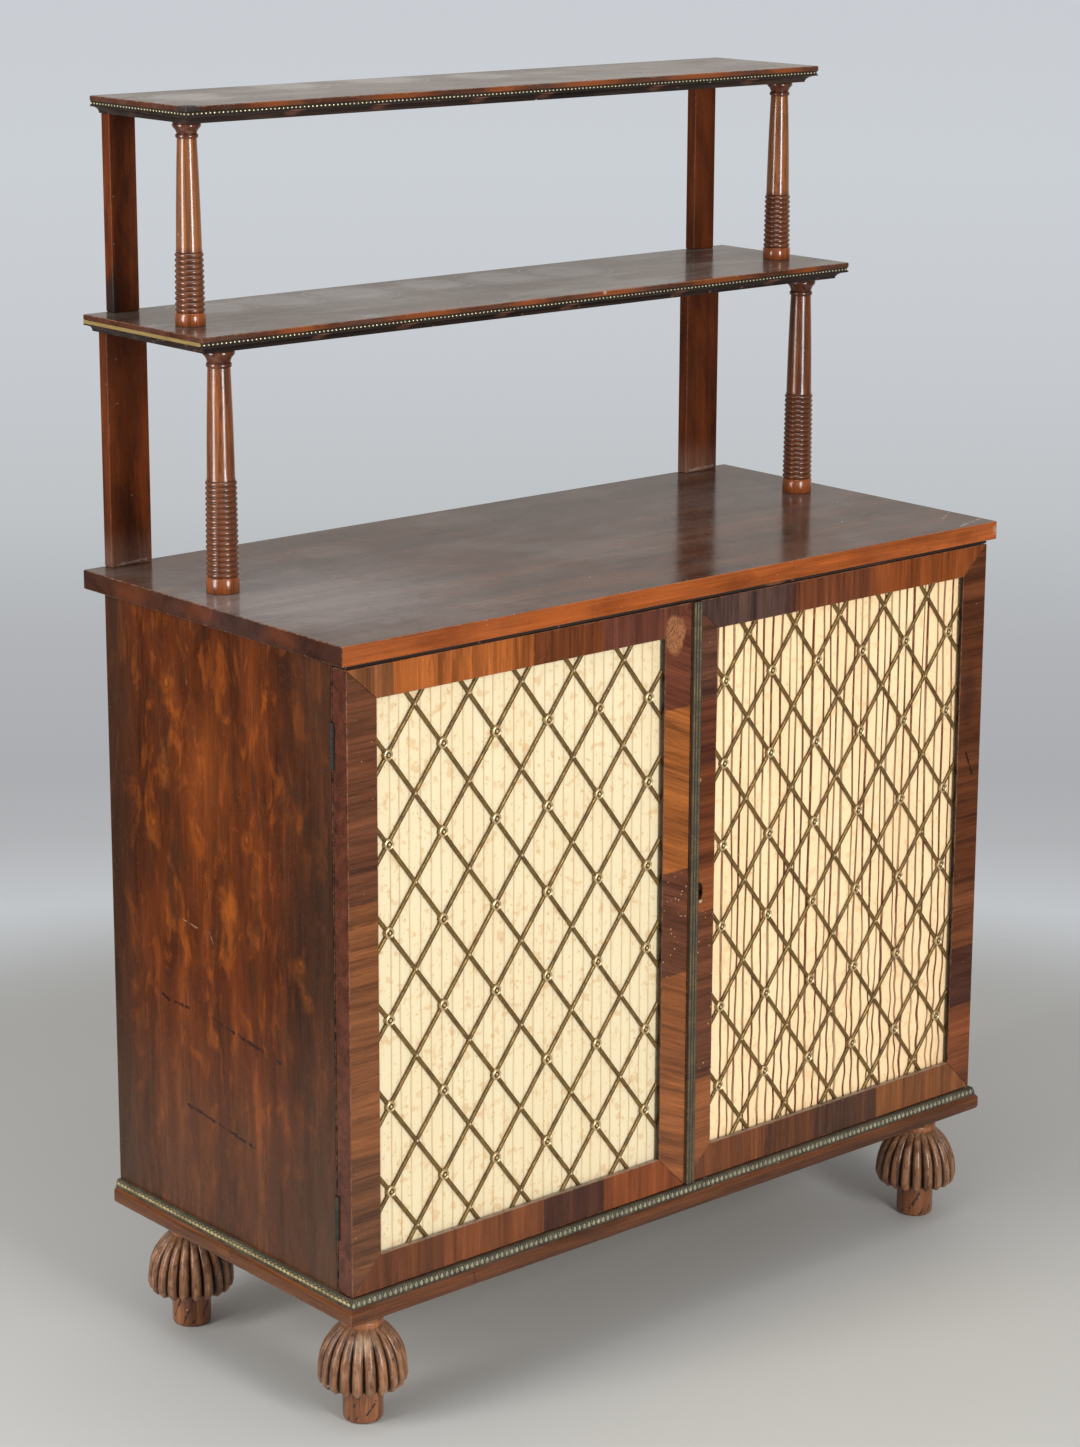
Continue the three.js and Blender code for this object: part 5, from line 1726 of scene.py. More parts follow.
@dataclass(frozen=True)
class ColumnSizes:
    """One column's turned profile, in millimetres."""

    x: float
    y: float
    low: float
    high: float
    base_height: float
    base_radius: float
    rings: int
    ring_low: float
    ring_high: float
    shaft_low: float
    shaft_high: float
    neck_height: float
    neck_radius: float
    bell_height: float
    bell_radius: float
    abacus_height: float
    abacus_radius: float
    ring_pitch: float = 5.45
    groove: float = 2.3

    def profile(self) -> list[tuple[float, float, float]]:
        """Radius, height and depth in a hollow, from the foot up.

        Returns:
            One row for each ring of points.
        """
        rows = [(0, 0, 0), (self.base_radius - 0.8, 0, 0.4), (self.base_radius, 0.8, 0.1),
                (self.base_radius, self.base_height - 1.0, 0.0),
                (self.base_radius - 0.9, self.base_height - 0.1, 0.3)]
        for k in range(self.rings):
            ring = self.ring_low + (self.ring_high - self.ring_low) * k / (self.rings - 1)
            z = self.base_height + k * self.ring_pitch
            for share in (0.06, 0.16, 0.3, 0.46, 0.62, 0.78, 0.9):
                rise = math.sin(math.pi * share) ** 0.75
                rows.append((ring - self.groove * (1 - rise), z + self.ring_pitch * share, 1 - rise))
        z = self.base_height + self.rings * self.ring_pitch
        head = self.high - self.low
        abacus, bell = head - self.abacus_height, head - self.abacus_height - self.bell_height
        neck = bell - self.neck_height
        rows += [(self.ring_high - 1.9, z, 0.9), (self.shaft_low + 0.5, z + 0.5, 0.5), (self.shaft_low, z + 2.2, 0.1)]
        for k in range(1, 9):
            share = k / 9
            radius = self.shaft_low + (self.shaft_high - self.shaft_low) * share + 0.35 * math.sin(math.pi * share)
            rows.append((radius, z + 2.2 + (neck - z - 3.2) * share, 0.0))
        rows += [(self.shaft_high, neck - 0.8, 0.3), (self.shaft_high - 0.2, neck - 0.1, 0.8)]
        half = self.neck_height / 2
        for angle in (-75, -45, -15, 15, 45, 75):
            a = math.radians(angle)
            rows.append((self.shaft_high + (self.neck_radius - self.shaft_high) * math.cos(a),
                         neck + half + half * math.sin(a), 0.1))
        rows += [(self.shaft_high - 0.1, bell, 0.9), (self.shaft_high + 0.2, bell + 0.9, 0.6)]
        for share in (0.25, 0.45, 0.65, 0.82, 0.95):
            flare = share ** 2.2
            rows.append((self.shaft_high + 0.4 + (self.bell_radius - self.shaft_high) * flare,
                         bell + self.bell_height * share, 0.2))
        rows.append((self.bell_radius + 0.2, abacus - 0.1, 0.8))
        wide, tall = self.abacus_radius, self.abacus_height
        for angle in (-70, -40, -10, 20, 45):
            a = math.radians(angle)
            rows.append((wide - 1.6 + 1.6 * math.cos(a), abacus + tall * 0.42 + tall * 0.42 * math.sin(a), 0.05))
        rows += [(wide - 1.1, abacus + tall * 0.8, 0.9), (wide - 0.5, abacus + tall * 0.86, 0.3),
                 (wide - 0.7, head, 0.1), (0, head, 0)]
        return rows


@dataclass
class OpenShelves:
    """Two tiers, each with a shelf on flat uprights behind and turned columns in front."""

    back: float = 220.25
    middle_top: float = 1084.5
    top: float = 1304.0
    thickness: float = 18.0
    edge: float = 5.5
    bead_height: float = 3.8
    bead_depth: float = 3.2
    moulding: float = 12.5
    bead_pitch: float = 5.2
    bead_radius: float = 1.1
    lower: ColumnSizes = ColumnSizes(405.5, 45.25, 820.1, 1066.4, 16.3, 16.8, 18, 16.8, 16.0, 14.2, 11.5, 5.0, 13.0,
                                     7.0, 14.6, 6.5, 16.3)
    upper: ColumnSizes = ColumnSizes(408.0, 88.75, 1084.6, 1285.9, 13.5, 15.5, 11, 15.2, 14.5, 12.9, 9.9, 4.5, 11.5,
                                     6.0, 13.0, 5.5, 14.4)
    middle_rings: tuple[tuple[float, float], ...] = (
        (-321, 173), (-239, 175), (-142, 171), (-34, 173), (61, 169), (150, 161))
    top_rings: tuple[tuple[float, float], ...] = ((-366, 149), (-211, 198), (-83, 196), (37, 173))

    def board(self, name: str, top: float, rings: Sequence[tuple[float, float]], seed: float) -> None:
        """A shelf board with its pale rings.

        Args:
            name: the shelf's node.
            top: the height of its top face.
            rings: where pots stood.
            seed: the seed of its grain.
        """
        left, front, _ = box_mm(name)[0]
        marks = [Blot((-150, 140, top), 190, (0.24, 0.205, 0.19), 0.4, 0.9),
                 Blot((240, 120, top), 150, (0.2, 0.17, 0.155), 0.35, 0.9),
                 Mottle((0.3, 0.29, 0.27), 0.5, (150, 60, 60), 0.42, 0.62, seed),
                 Hairlines((0, 0, 0.3), 0.35, (0.36, 0.32, 0.29)),
                 Flecks(24, 0.05, 0.4, (0.75, 0.72, 0.66), share=0.9),
                 *[RingMark((x, y, top), 46 + 3 * (k % 3), (0.62, 0.6, 0.57), 0.72, 3.0, 0.6)
                   for k, (x, y) in enumerate(rings)],
                 Band((0, -1, 0), -front - 1.2, 500, (0.075, 0.022, 0.009), 0.9, 0.4, 0.6),
                 Band((-1, 0, 0), -left - 1.2, 600, (0.07, 0.02, 0.009), 0.9, 0.4, 0.6),
                 *[Blot((x, front, top - 3), r, (0.27, 0.068, 0.014), 0.65, 0.9, (0.3, 1, 1.2), waver=12) for x, r in (
                     (-330, 14), (-170, 20), (-30, 12), (90, 20), (250, 22), (380, 12))],
                 Flecks(15, 0.2, 0.15, (0.4, 0.27, 0.18), (0, -1, 0), -front - 3, 500)]
        if name == "top_shelf":
            marks.append(Blot((left + 4, front + 3, top - 2), 15, (0.022, 0.018, 0.017), 0.92, 0.35, rough=0.7))
        dress(name, SHELF_WOOD, Grain.ACROSS, seed, marks, 0.9, 3)

    def path(self, name: str) -> list[tuple[float, float]]:
        """The plan of a shelf's sunk core.

        Args:
            name: the shelf's node.

        Returns:
            The corners, from the back left one.
        """
        low, high = box_mm(name)
        half, front = high[0] - self.moulding, low[1] + self.moulding
        return [(-half, self.back), (-half, front), (half, front), (half, self.back)]

    def edge_strips(self, name: str, top: float) -> None:
        """The black cove and the beaded brass strip of one shelf.

        Args:
            name: the shelf's node.
            top: the height of its top face.
        """
        low, high = box_mm(name)
        tall, reach = self.thickness - self.edge - 0.1, self.moulding - 0.1
        nose = tall - self.bead_height - 0.2
        hollow = [(1.6 + (reach - 1.6) * (1 - math.cos(a)), nose * 0.86 * math.sin(a))
                  for a in (math.radians(d) for d in range(0, 91, 9))]
        section = [(0.1, 0), *hollow, (reach, nose - 0.3), (reach - 0.4, nose),
                   (self.moulding - self.bead_depth - 0.1, nose),
                   (self.moulding - self.bead_depth - 0.1, tall), (0.1, tall)]
        cove = mesh_of(name + "_cove", *mitred(section, self.path(name), top - self.thickness))
        front = low[1]
        marks = [Blot((x, front + 4, top - 12), 14, (0.16, 0.065, 0.04), 0.75, 0.7, (1, 1, 2))
                 for x in (-300, -190, -60, 30, 190, 330)]
        marks += [Flecks(8, 0.3, 0.25, (0.14, 0.06, 0.04)), Flecks(11, 0.2, 0.15, (0.35, 0.27, 0.2))]
        black = EBONISED.make(name + "_cove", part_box(name), Grain.ACROSS, 71.0, marks)
        finish_piece(f"{name}_cove_moulding", cove, black, "carcase", [name + "_cove"])
        z = top - self.edge - 0.1 - self.bead_height
        inner, out, h = self.moulding - self.bead_depth, self.moulding - 1.5, self.bead_height
        bed = [(inner, 0), (out + 0.6, 0), (out + 0.9, 0.35), (out + 0.6, 0.7), (out, 0.8), (out, h - 0.8),
               (out + 0.6, h - 0.7), (out + 0.9, h - 0.35), (out + 0.6, h), (inner, h)]
        brass = BEAD_BRASS.make(name + "_beads", 3.0)
        plain_bed = BED_BRASS.make(name + "_strip", 3.0)
        strip = mesh_of(name + "_strip", *mitred(bed, self.path(name), z))
        finish_piece(name + "_strip", strip, plain_bed, "carcase", [name + "_beading"])
        half, y, middle = high[0] - self.moulding, front + self.moulding - out, z + h / 2
        row = [(float(x), y - 0.35, middle) for x in np.arange(-half - out + 2, half + out - 1, self.bead_pitch)]
        studded(name + "_beads", ball(self.bead_radius), row, (0, -1, 0), brass)
        for side in Side:
            if name == "middle_shelf" and side is Side.LEFT:
                self.gilt_end(-half, y, z)
                continue
            x = side.value * (half + out + 0.35)
            row = [(x, float(v), middle) for v in np.arange(self.back - 2, y, -self.bead_pitch)]
            studded(f"{name}_{side.word}_beads", ball(self.bead_radius), row, (side.value, 0, 0), brass)

    def gilt_end(self, x: float, y: float, z: float) -> None:
        """The reeded gilt strip at the middle shelf's left end.

        Args:
            x: the core's end.
            y: the strip's front.
            z: the strip's foot.
        """
        inner, out, h = self.moulding - self.bead_depth, self.moulding - 0.2, self.bead_height
        outline = [(inner, 0.0)]
        for k in range(3):
            for a in (math.radians(d) for d in range(20, 161, 20)):
                outline.append((out - 0.7 + 0.7 * math.sin(a), h / 3 * (k + 0.5) - h / 6 * math.cos(a)))
        outline.append((inner, h))
        points = [(x - o, py, z + up) for py in (self.back, y + 2.5) for o, up in outline]
        mesh = mesh_of("gilt_end", points, run(2, len(outline)), 60)
        gilt = GILT.make("middle_shelf_gilt_end", 5.0)
        finish_piece("middle_shelf_gilt_end", mesh, gilt, "carcase")

    def column(self, level: str, side: Side, sizes: ColumnSizes, seed: float) -> None:
        """One turned column.

        Args:
            level: lower or upper.
            side: the side that it stands on.
            sizes: its profile.
            seed: the seed of its grain.
        """
        node = f"{level}_{side.word}_column"
        rows = sizes.profile()
        points, faces = turned([(r, z) for r, z, _ in rows], ROUND, (side.value * sizes.x, sizes.y, sizes.low))
        depth = spread(rows, [d for _, _, d in rows], ROUND)
        mesh = mesh_of(node, points, faces, 60, {"depth": depth})
        x, y, z = side.value * sizes.x, sizes.y - sizes.ring_low, sizes.low
        ringed = sizes.base_height + sizes.rings * sizes.ring_pitch
        capital = sizes.high - z - sizes.abacus_height - sizes.bell_height - sizes.neck_height
        marks: list[Mark] = [
            Band(UP, z - 1, z + sizes.base_height, (0.235, 0.058, 0.013), 0.8, 0.5, 0),
            Band(UP, z + sizes.base_height, z + ringed, (0.105, 0.034, 0.014), 0.6, 0.6, 0),
            Band(UP, z + capital, z + 400, (0.075, 0.022, 0.011), 0.75, 0.6, 0),
            Hollows((0.016, 0.007, 0.004), 0.95, 0.42, 0.95),
            Blot((x + 3, y, z + 132), 2.6, (0.02, 0.01, 0.008), 0.9, 0.8),
            Flecks(15, 0.13, 0.2, (0.5, 0.35, 0.24), share=0.6)]
        if level == "upper":
            marks.append(Band(UP, z + ringed + 4, z + capital, (0.26, 0.092, 0.026), 0.55, 3, 0))
        material = (UPPER_TURNED if level == "upper" else TURNED).make(node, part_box(node), Grain.UPRIGHT, seed, marks)
        finish_piece(node + "_turned", mesh, material, "carcase", [node])

    def uprights(self) -> None:
        """The four flat uprights at the back."""
        seeds = iter((81.0, 83.0, 87.0, 89.0))
        for level in ("lower", "upper"):
            for side in Side:
                node = f"{level}_{side.word}_upright"
                low, high = box_mm(node)
                x, y, z = (low[0] + high[0]) / 2, low[1], low[2]
                dark = 0.6 if side is Side.LEFT else 0.32
                marks = [Mottle((0.032, 0.011, 0.006), dark, (26, 26, 90), 0.46, 0.66, x / 50),
                         Flecks(14, 0.09, 0.2, (0.4, 0.28, 0.2), share=0.5)]
                if level == "lower":
                    marks += [Fade((0, 0, -1), -z - 45, -z, (0.25, 0.15, 0.11), 0.35),
                              Stroke((x - 18, y, z + 3), (x + 20, y, z + 4), 1.8, (0.45, 0.4, 0.36), 0.35, 3, 0.45)]
                if node == "lower_left_upright":
                    marks.append(RingMark((x + 3, y, z + 232), 3.4, (0.42, 0.28, 0.18), 1.2, 1.0, 0.0, (0, 1, 0)))
                if node == "upper_left_upright":
                    marks.append(Blot((x - 16, y, z + 14), 16, (0.02, 0.014, 0.012), 0.85, 0.4, (1.6, 1, 0.5)))
                dress(node, UPRIGHT_WOOD, Grain.UPRIGHT, next(seeds), marks, 1.0)

    def build(self) -> None:
        """Makes both tiers."""
        self.uprights()
        for level, sizes in (("lower", self.lower), ("upper", self.upper)):
            for side in Side:
                self.column(level, side, sizes, 91.0 + side.value + sizes.low / 100)
        for name, top, rings, seed in (("middle_shelf", self.middle_top, self.middle_rings, 101.0),
                                       ("top_shelf", self.top, self.top_rings, 103.0)):
            self.board(name, top, rings, seed)
            self.edge_strips(name, top)


# The doors

@dataclass
class Door:
    """A door: four mitred members round a brass lattice over pleated silk, which a fillet frame holds."""

    side: Side
    pleats: int
    looseness: float
    silk_finish: SilkFinish
    meeting_gap: float = 1.2
    half_width: float = 448.0
    low: float = 155.0
    high: float = 794.6
    stile: float = 36.5
    top_rail: float = 33.0
    bottom_rail: float = 37.0
    columns: int = 6
    rows: int = 6
    margin_x: float = 17.0
    margin_z: float = 60.0
    rod_width: float = 4.3
    rod_thickness: float = 2.7
    rod_lap: float = 6.3
    rod_y: float = -205.15
    rod_step: float = 0.15
    shortest_rod: float = 4.0
    lattice_back: float = -203.65
    rosette: float = 6.4
    rosette_sides: int = 18
    pip_out: float = 1.5
    silk_front: float = -203.3
    silk_back: float = -202.7
    silk_lap: float = 6.8
    silk_rows: int = 150
    pleat_lap: float = 3.6

    def __post_init__(self) -> None:
        """Works out the sight opening."""
        near, far = self.meeting_gap / 2 + self.stile, self.half_width - self.stile
        self.sight_x = (near, far) if self.side is Side.RIGHT else (-far, -near)
        self.sight_z = (self.low + self.bottom_rail, self.high - self.top_rail)

    def members(self) -> None:
        """Stiles and rails, crossbanded, each with the veneer patches that are seen on it; the left meeting stile and
        the right hinge stile also carry a painted shade line at the sight edge.
        """
        word = self.side.word
        turns = {"top_rail": Grain.UPRIGHT, "bottom_rail": Grain.UPRIGHT, "hinge_stile": Grain.ACROSS,
                 "meeting_stile": Grain.SLANT_RIGHT if self.side is Side.LEFT else Grain.ACROSS}
        for k, (member, grain) in enumerate(turns.items()):
            node = f"{word}_door_{member}"
            dress(node, ROSEWOOD, grain, 111.0 + 7 * k + self.side.value, MEMBER_MARKS[node], 0.7)

    def lattice(self) -> None:
        """Two sets of slanted rods, with a rosette or a small pip where they cross."""
        word = self.side.word
        x0, x1 = self.sight_x
        z0, z1 = self.sight_z
        mx, mz = (x0 + x1) / 2, (z0 + z1) / 2
        px = ((x1 - x0) / 2 - self.margin_x) / (self.columns - 1)
        pz = ((z1 - z0) / 2 - self.margin_z) / (self.rows - 1)
        lo, hi = (x0 - self.rod_lap, z0 - self.rod_lap), (x1 + self.rod_lap, z1 + self.rod_lap)
        points, edges = [], []
        count = (self.columns - 1 + self.rows) // 2
        for k in range(-count, count + 1):
            for lean in (-1, 1):
                cx, cz = mx - k * px * lean, mz + k * pz
                slope = lean * pz / px
                ends = sorted(((lo[1] - cz) / slope, (hi[1] - cz) / slope))
                ts = (max(lo[0] - cx, ends[0]), min(hi[0] - cx, ends[1]))
                if ts[1] - ts[0] < self.shortest_rod:
                    continue
                y = self.rod_y - lean * self.rod_step
                edges.append((len(points), len(points) + 1))
                points += [((cx + t) * MM, y * MM, (cz + slope * t) * MM) for t in ts]
        base = bpy.data.meshes.new("rods")
        base.from_pydata(points, edges, [])
        # The back part of each rod is darkened: painted shade where the rods meet the silk.
        painted_rod_shade = [Band((0, 1, 0), self.rod_y + 0.35, 0, (0.05, 0.022, 0.01), 0.85, 0.35, 0)]
        material = LATTICE_BRASS.make(word + "_lattice", 4.0 + self.side.value, painted_rod_shade)
        rods = Repeats.rods.make(word + "_rods", base, Width=self.rod_width * MM, Thickness=self.rod_thickness * MM,
                                 Material=material)
        smooth(rods, 50)
        finish_piece(word + "_lattice_rods", rods, material, word + "_door", [word + "_grille"])
        crossings = [(mx + i * px, self.lattice_back, mz + j * pz) for i in range(1 - self.columns, self.columns, 2)
                     for j in range(1 - self.rows, self.rows, 2)]
        # The rosettes' hollow marks paint shade on each boss's outer wall and darken its dish.
        shaded_rosette_brass = BOSS_BRASS.make(word + "_rosettes", 5.0 + self.side.value,
                                 [Hollows((0.06, 0.028, 0.013), 0.9, 0.3, 0.7)])
        studded(word + "_lattice_rosettes", self.boss(), crossings, (0, -1, 0), shaded_rosette_brass, word + "_door")
        plain_ones = [(mx + i * px, self.rod_y - self.pip_out, mz + j * pz)
                      for i in range(2 - self.columns, self.columns - 1, 2)
                      for j in range(-self.rows, self.rows + 1, 2)]
        bright = BEAD_BRASS.make(word + "_pips", 6.0)
        studded(word + "_lattice_pips", ball(1.3, 0.6), plain_ones, (0, -1, 0), bright, word + "_door")

    def boss(self) -> bpy.types.Mesh:
        """A rosette: a flat seat, a round rim, a dished face and a pip in its middle.

        Returns:
            The mesh.
        """
        r = self.rosette
        rows = [(0, 0), (r - 0.8, 0), (r - 0.5, 0.6), (r - 0.9, 2.4), (r - 0.6, 3.2), (r - 1.1, 4.3), (r - 2.1, 4.75),
                (r - 3.0, 4.3), (r - 3.5, 3.5), (1.9, 3.5), (1.5, 4.7), (0.8, 5.35), (0, 5.55)]
        # Values for the hollow marks: the outer wall's are painted shade, the dish's mark its hollow.
        depth = [0.6, 0.55, 0.55, 0.5, 0.3, 0, 0, 0.1, 0.9, 0.9, 0.1, 0, 0]
        return mesh_of("rosette", *turned(rows, self.rosette_sides), 50,
                       {"depth": spread(rows, depth, self.rosette_sides)})

    def silk(self) -> None:
        """Pleated silk: each pleat's face runs on below the next one and turns back under it."""
        word = self.side.word
        x0, x1 = self.sight_x[0] - self.silk_lap, self.sight_x[1] + self.silk_lap
        z0, z1 = self.sight_z[0] - self.silk_lap, self.sight_z[1] + self.silk_lap
        pitch = (x1 - x0 - self.pleat_lap) / self.pleats
        rng = np.random.default_rng(17 + self.side.value)
        phase, pace, _ = rng.uniform(0, 6.28, (3, self.pleats + 1, 2))
        uneven = rng.uniform(-0.22, 0.22, self.pleats + 1) * pitch * min(1.0, self.looseness)
        rows = self.silk_rows
        zs = np.linspace(z0, z1, rows)
        def edge(k: int) -> np.ndarray:
            """The line of one fold.

            Args:
                k: the fold's number.

            Returns:
                Its place across, row by row.
            """
            if k in (0, self.pleats):
                return np.full(rows, x0 + pitch * k)
            sway = np.sin(zs / (90 + 14 * pace[k, 0]) + phase[k, 0])
            wave = sway + 0.6 * np.sin(zs / (34 + 5 * pace[k, 1]) + phase[k, 1])
            loose = np.clip((480 - zs) / 220, 0, 1) * self.looseness * 0.55 * (0.3 + k / self.pleats)
            ripple = np.sin(zs / (6.5 + 1.5 * math.sin(k * 1.7)) + phase[k, 1] + k * 0.6)
            return x0 + pitch * k + uneven[k] + wave * self.looseness * 0.9 + ripple * loose
        cols, fold = [], []
        yf, yb = self.silk_front, self.silk_back
        for k in range(self.pleats):
            a, b = edge(k), edge(k + 1)
            tail = b + self.pleat_lap
            for share in (0.0, 0.05, 0.1, 0.2, 0.4, 0.65, 0.9, 1.0):
                bow = 0.3 * math.sin(math.pi * share)
                depth = yf + (yb - yf - 0.25) * share - bow * (1 - share)
                cols.append((a + (tail - a) * share, depth))
                # The fold value marks each pleat's crease, where the finish paints shade.
                fold.append(max(0.0, 1 - share * (8 if self.looseness < 1 else 4.8)))
        cols.append((edge(self.pleats), yf + 0.4))
        fold.append(0.6)
        points = [(float(x[r]), y, float(zs[r])) for r in range(rows) for x, y in cols]
        n = len(cols)
        faces = [[r * n + c, r * n + c + 1, (r + 1) * n + c + 1, (r + 1) * n + c] for r in range(rows - 1)
                 for c in range(n - 1)]
        mesh = bare(word + "_silk_sheet", points, faces, {"fold": fold * rows})
        smooth(mesh, 70)
        material = self.silk_finish.make(word + "_silk_sheet", 3.0 + self.side.value)
        sheet = finish_piece(word + "_silk_sheet", mesh, material, word + "_door", [word + "_silk"])
        dress(word + "_silk_frame", PINE, Grain.ACROSS, 140.0 + self.side.value, (), 0.5)

    def build(self) -> None:
        """Makes the whole door."""
        self.members()
        self.lattice()
        self.silk()


TAN, PURPLE, UMBER = (0.2, 0.07, 0.023), (0.105, 0.033, 0.02), (0.06, 0.019, 0.01)
PALE_CHIP, SHADE = (0.5, 0.31, 0.19), (0.01, 0.006, 0.004)
UP, ALONG = (0.0, 0.0, 1.0), (1.0, 0.0, 0.0)
FACE = -211.75
LEDGE = Band(UP, 191.5, 193.0, (0.3, 0.23, 0.17), 0.6, 0.3, 0)
SCAR = Scar((-23, FACE, 764), 18, (0.33, 0.125, 0.045), (1.15, 0.0, 0.74))


def bands(axis: Place, edges: Sequence[float], colours: Sequence[RGB]) -> list[Band]:
    """Lengths of veneer that follow each other along a member, each with its own colour."""
    return [Band(axis, min(a, b), max(a, b), colour) for a, b, colour in zip(edges, edges[1:], colours)]


MEMBER_MARKS: dict[str, list[Mark]] = {
    "left_door_top_rail": [
        *bands(ALONG, (-460, -391, -214, -121.5, 0), (TAN, (0.35, 0.096, 0.018), (0.112, 0.029, 0.008), PURPLE)),
        Flecks(12, 0.12, 0.2, PALE_CHIP), SCAR],
    "left_door_bottom_rail": [
        *bands(ALONG, (-460, -331, -198, -116, 0), (
            (0.11, 0.032, 0.01), (0.152, 0.043, 0.012), (0.05, 0.015, 0.008), (0.185, 0.044, 0.009))),
        Flecks(12, 0.13, 0.2, PALE_CHIP), LEDGE],
    "left_door_hinge_stile": [
        *bands(UP, (0, 300, 560, 800), ((0.13, 0.05, 0.02), (0.19, 0.066, 0.022), (0.118, 0.041, 0.018))),
        Flecks(12, 0.15, 0.25, PALE_CHIP), Band((-1, 0, 0), 447.4, 449, (0.08, 0.02, 0.009), 0.9, 0.25, 0)],
    "left_door_meeting_stile": [
        *bands(UP, (800, 685, 509, 395, 100), (
            (0.12, 0.034, 0.018), (0.3, 0.092, 0.02), (0.105, 0.036, 0.018), (0.24, 0.078, 0.022))),
        Flecks(5, 0.26, 0.4, PALE_CHIP, UP, 395, 505), Flecks(12, 0.14, 0.2, PALE_CHIP),
        # The SHADE band here is a painted shade line at the sight edge.
        SCAR, Band(ALONG, -37.7, -36.5, SHADE, 0.85, 0.15, 0)],
    "right_door_top_rail": [
        Band(ALONG, 0, 150, (0.068, 0.039, 0.032)), Band(ALONG, 150, 272, (0.14, 0.04, 0.015), soft=25),
        Band(ALONG, 272, 460, (0.232, 0.056, 0.011), soft=20), Flecks(12, 0.12, 0.2, PALE_CHIP)],
    "right_door_bottom_rail": [
        *bands(ALONG, (0, 120, 200, 295, 460), (
            (0.138, 0.041, 0.011), (0.085, 0.027, 0.009), (0.062, 0.025, 0.012), (0.185, 0.062, 0.016))),
        Flecks(12, 0.12, 0.2, PALE_CHIP), LEDGE],
    "right_door_hinge_stile": [
        *bands(UP, (800, 404.5, 328, 258.5, 0), (
            (0.092, 0.027, 0.009), (0.155, 0.048, 0.017), UMBER, (0.175, 0.046, 0.013))),
        Blot((425, FACE, 628), 30, (0.03, 0.011, 0.007), 0.6, 0.8, (1.6, 1, 0.6), waver=20),
        # A painted shade line at the sight edge.
        Band(ALONG, 410.9, 412.1, SHADE, 0.85, 0.15, 0),
        Stroke((424, FACE, 560), (436, FACE, 532), 1.5, (0.015, 0.008, 0.006), 0.9, 7, 0.3),
        Flecks(12, 0.14, 0.22, PALE_CHIP)],
    "right_door_meeting_stile": [
        *bands(UP, (800, 687, 617, 504, 457, 270, 0), (
            (0.085, 0.034, 0.02), (0.092, 0.026, 0.012), (0.122, 0.034, 0.011),
            (0.2, 0.058, 0.018), (0.112, 0.037, 0.016), (0.22, 0.072, 0.021))),
        Flecks(5, 0.26, 0.4, PALE_CHIP, UP, 270, 457),
        Blot((15.3, FACE, 480), 8, (0.006, 0.004, 0.003), 0.95, 0.25, (1.2, 1, 0.7), waver=2),
        Blot((14, FACE, 602), 2.5, PALE_CHIP, 0.8, 0.4, rough=0.7, waver=2), Flecks(12, 0.15, 0.25, PALE_CHIP),
        Blot((17.6, FACE, 469), 3.5, (0.45, 0.36, 0.28), 0.8, 0.4, rough=0.8)],
}


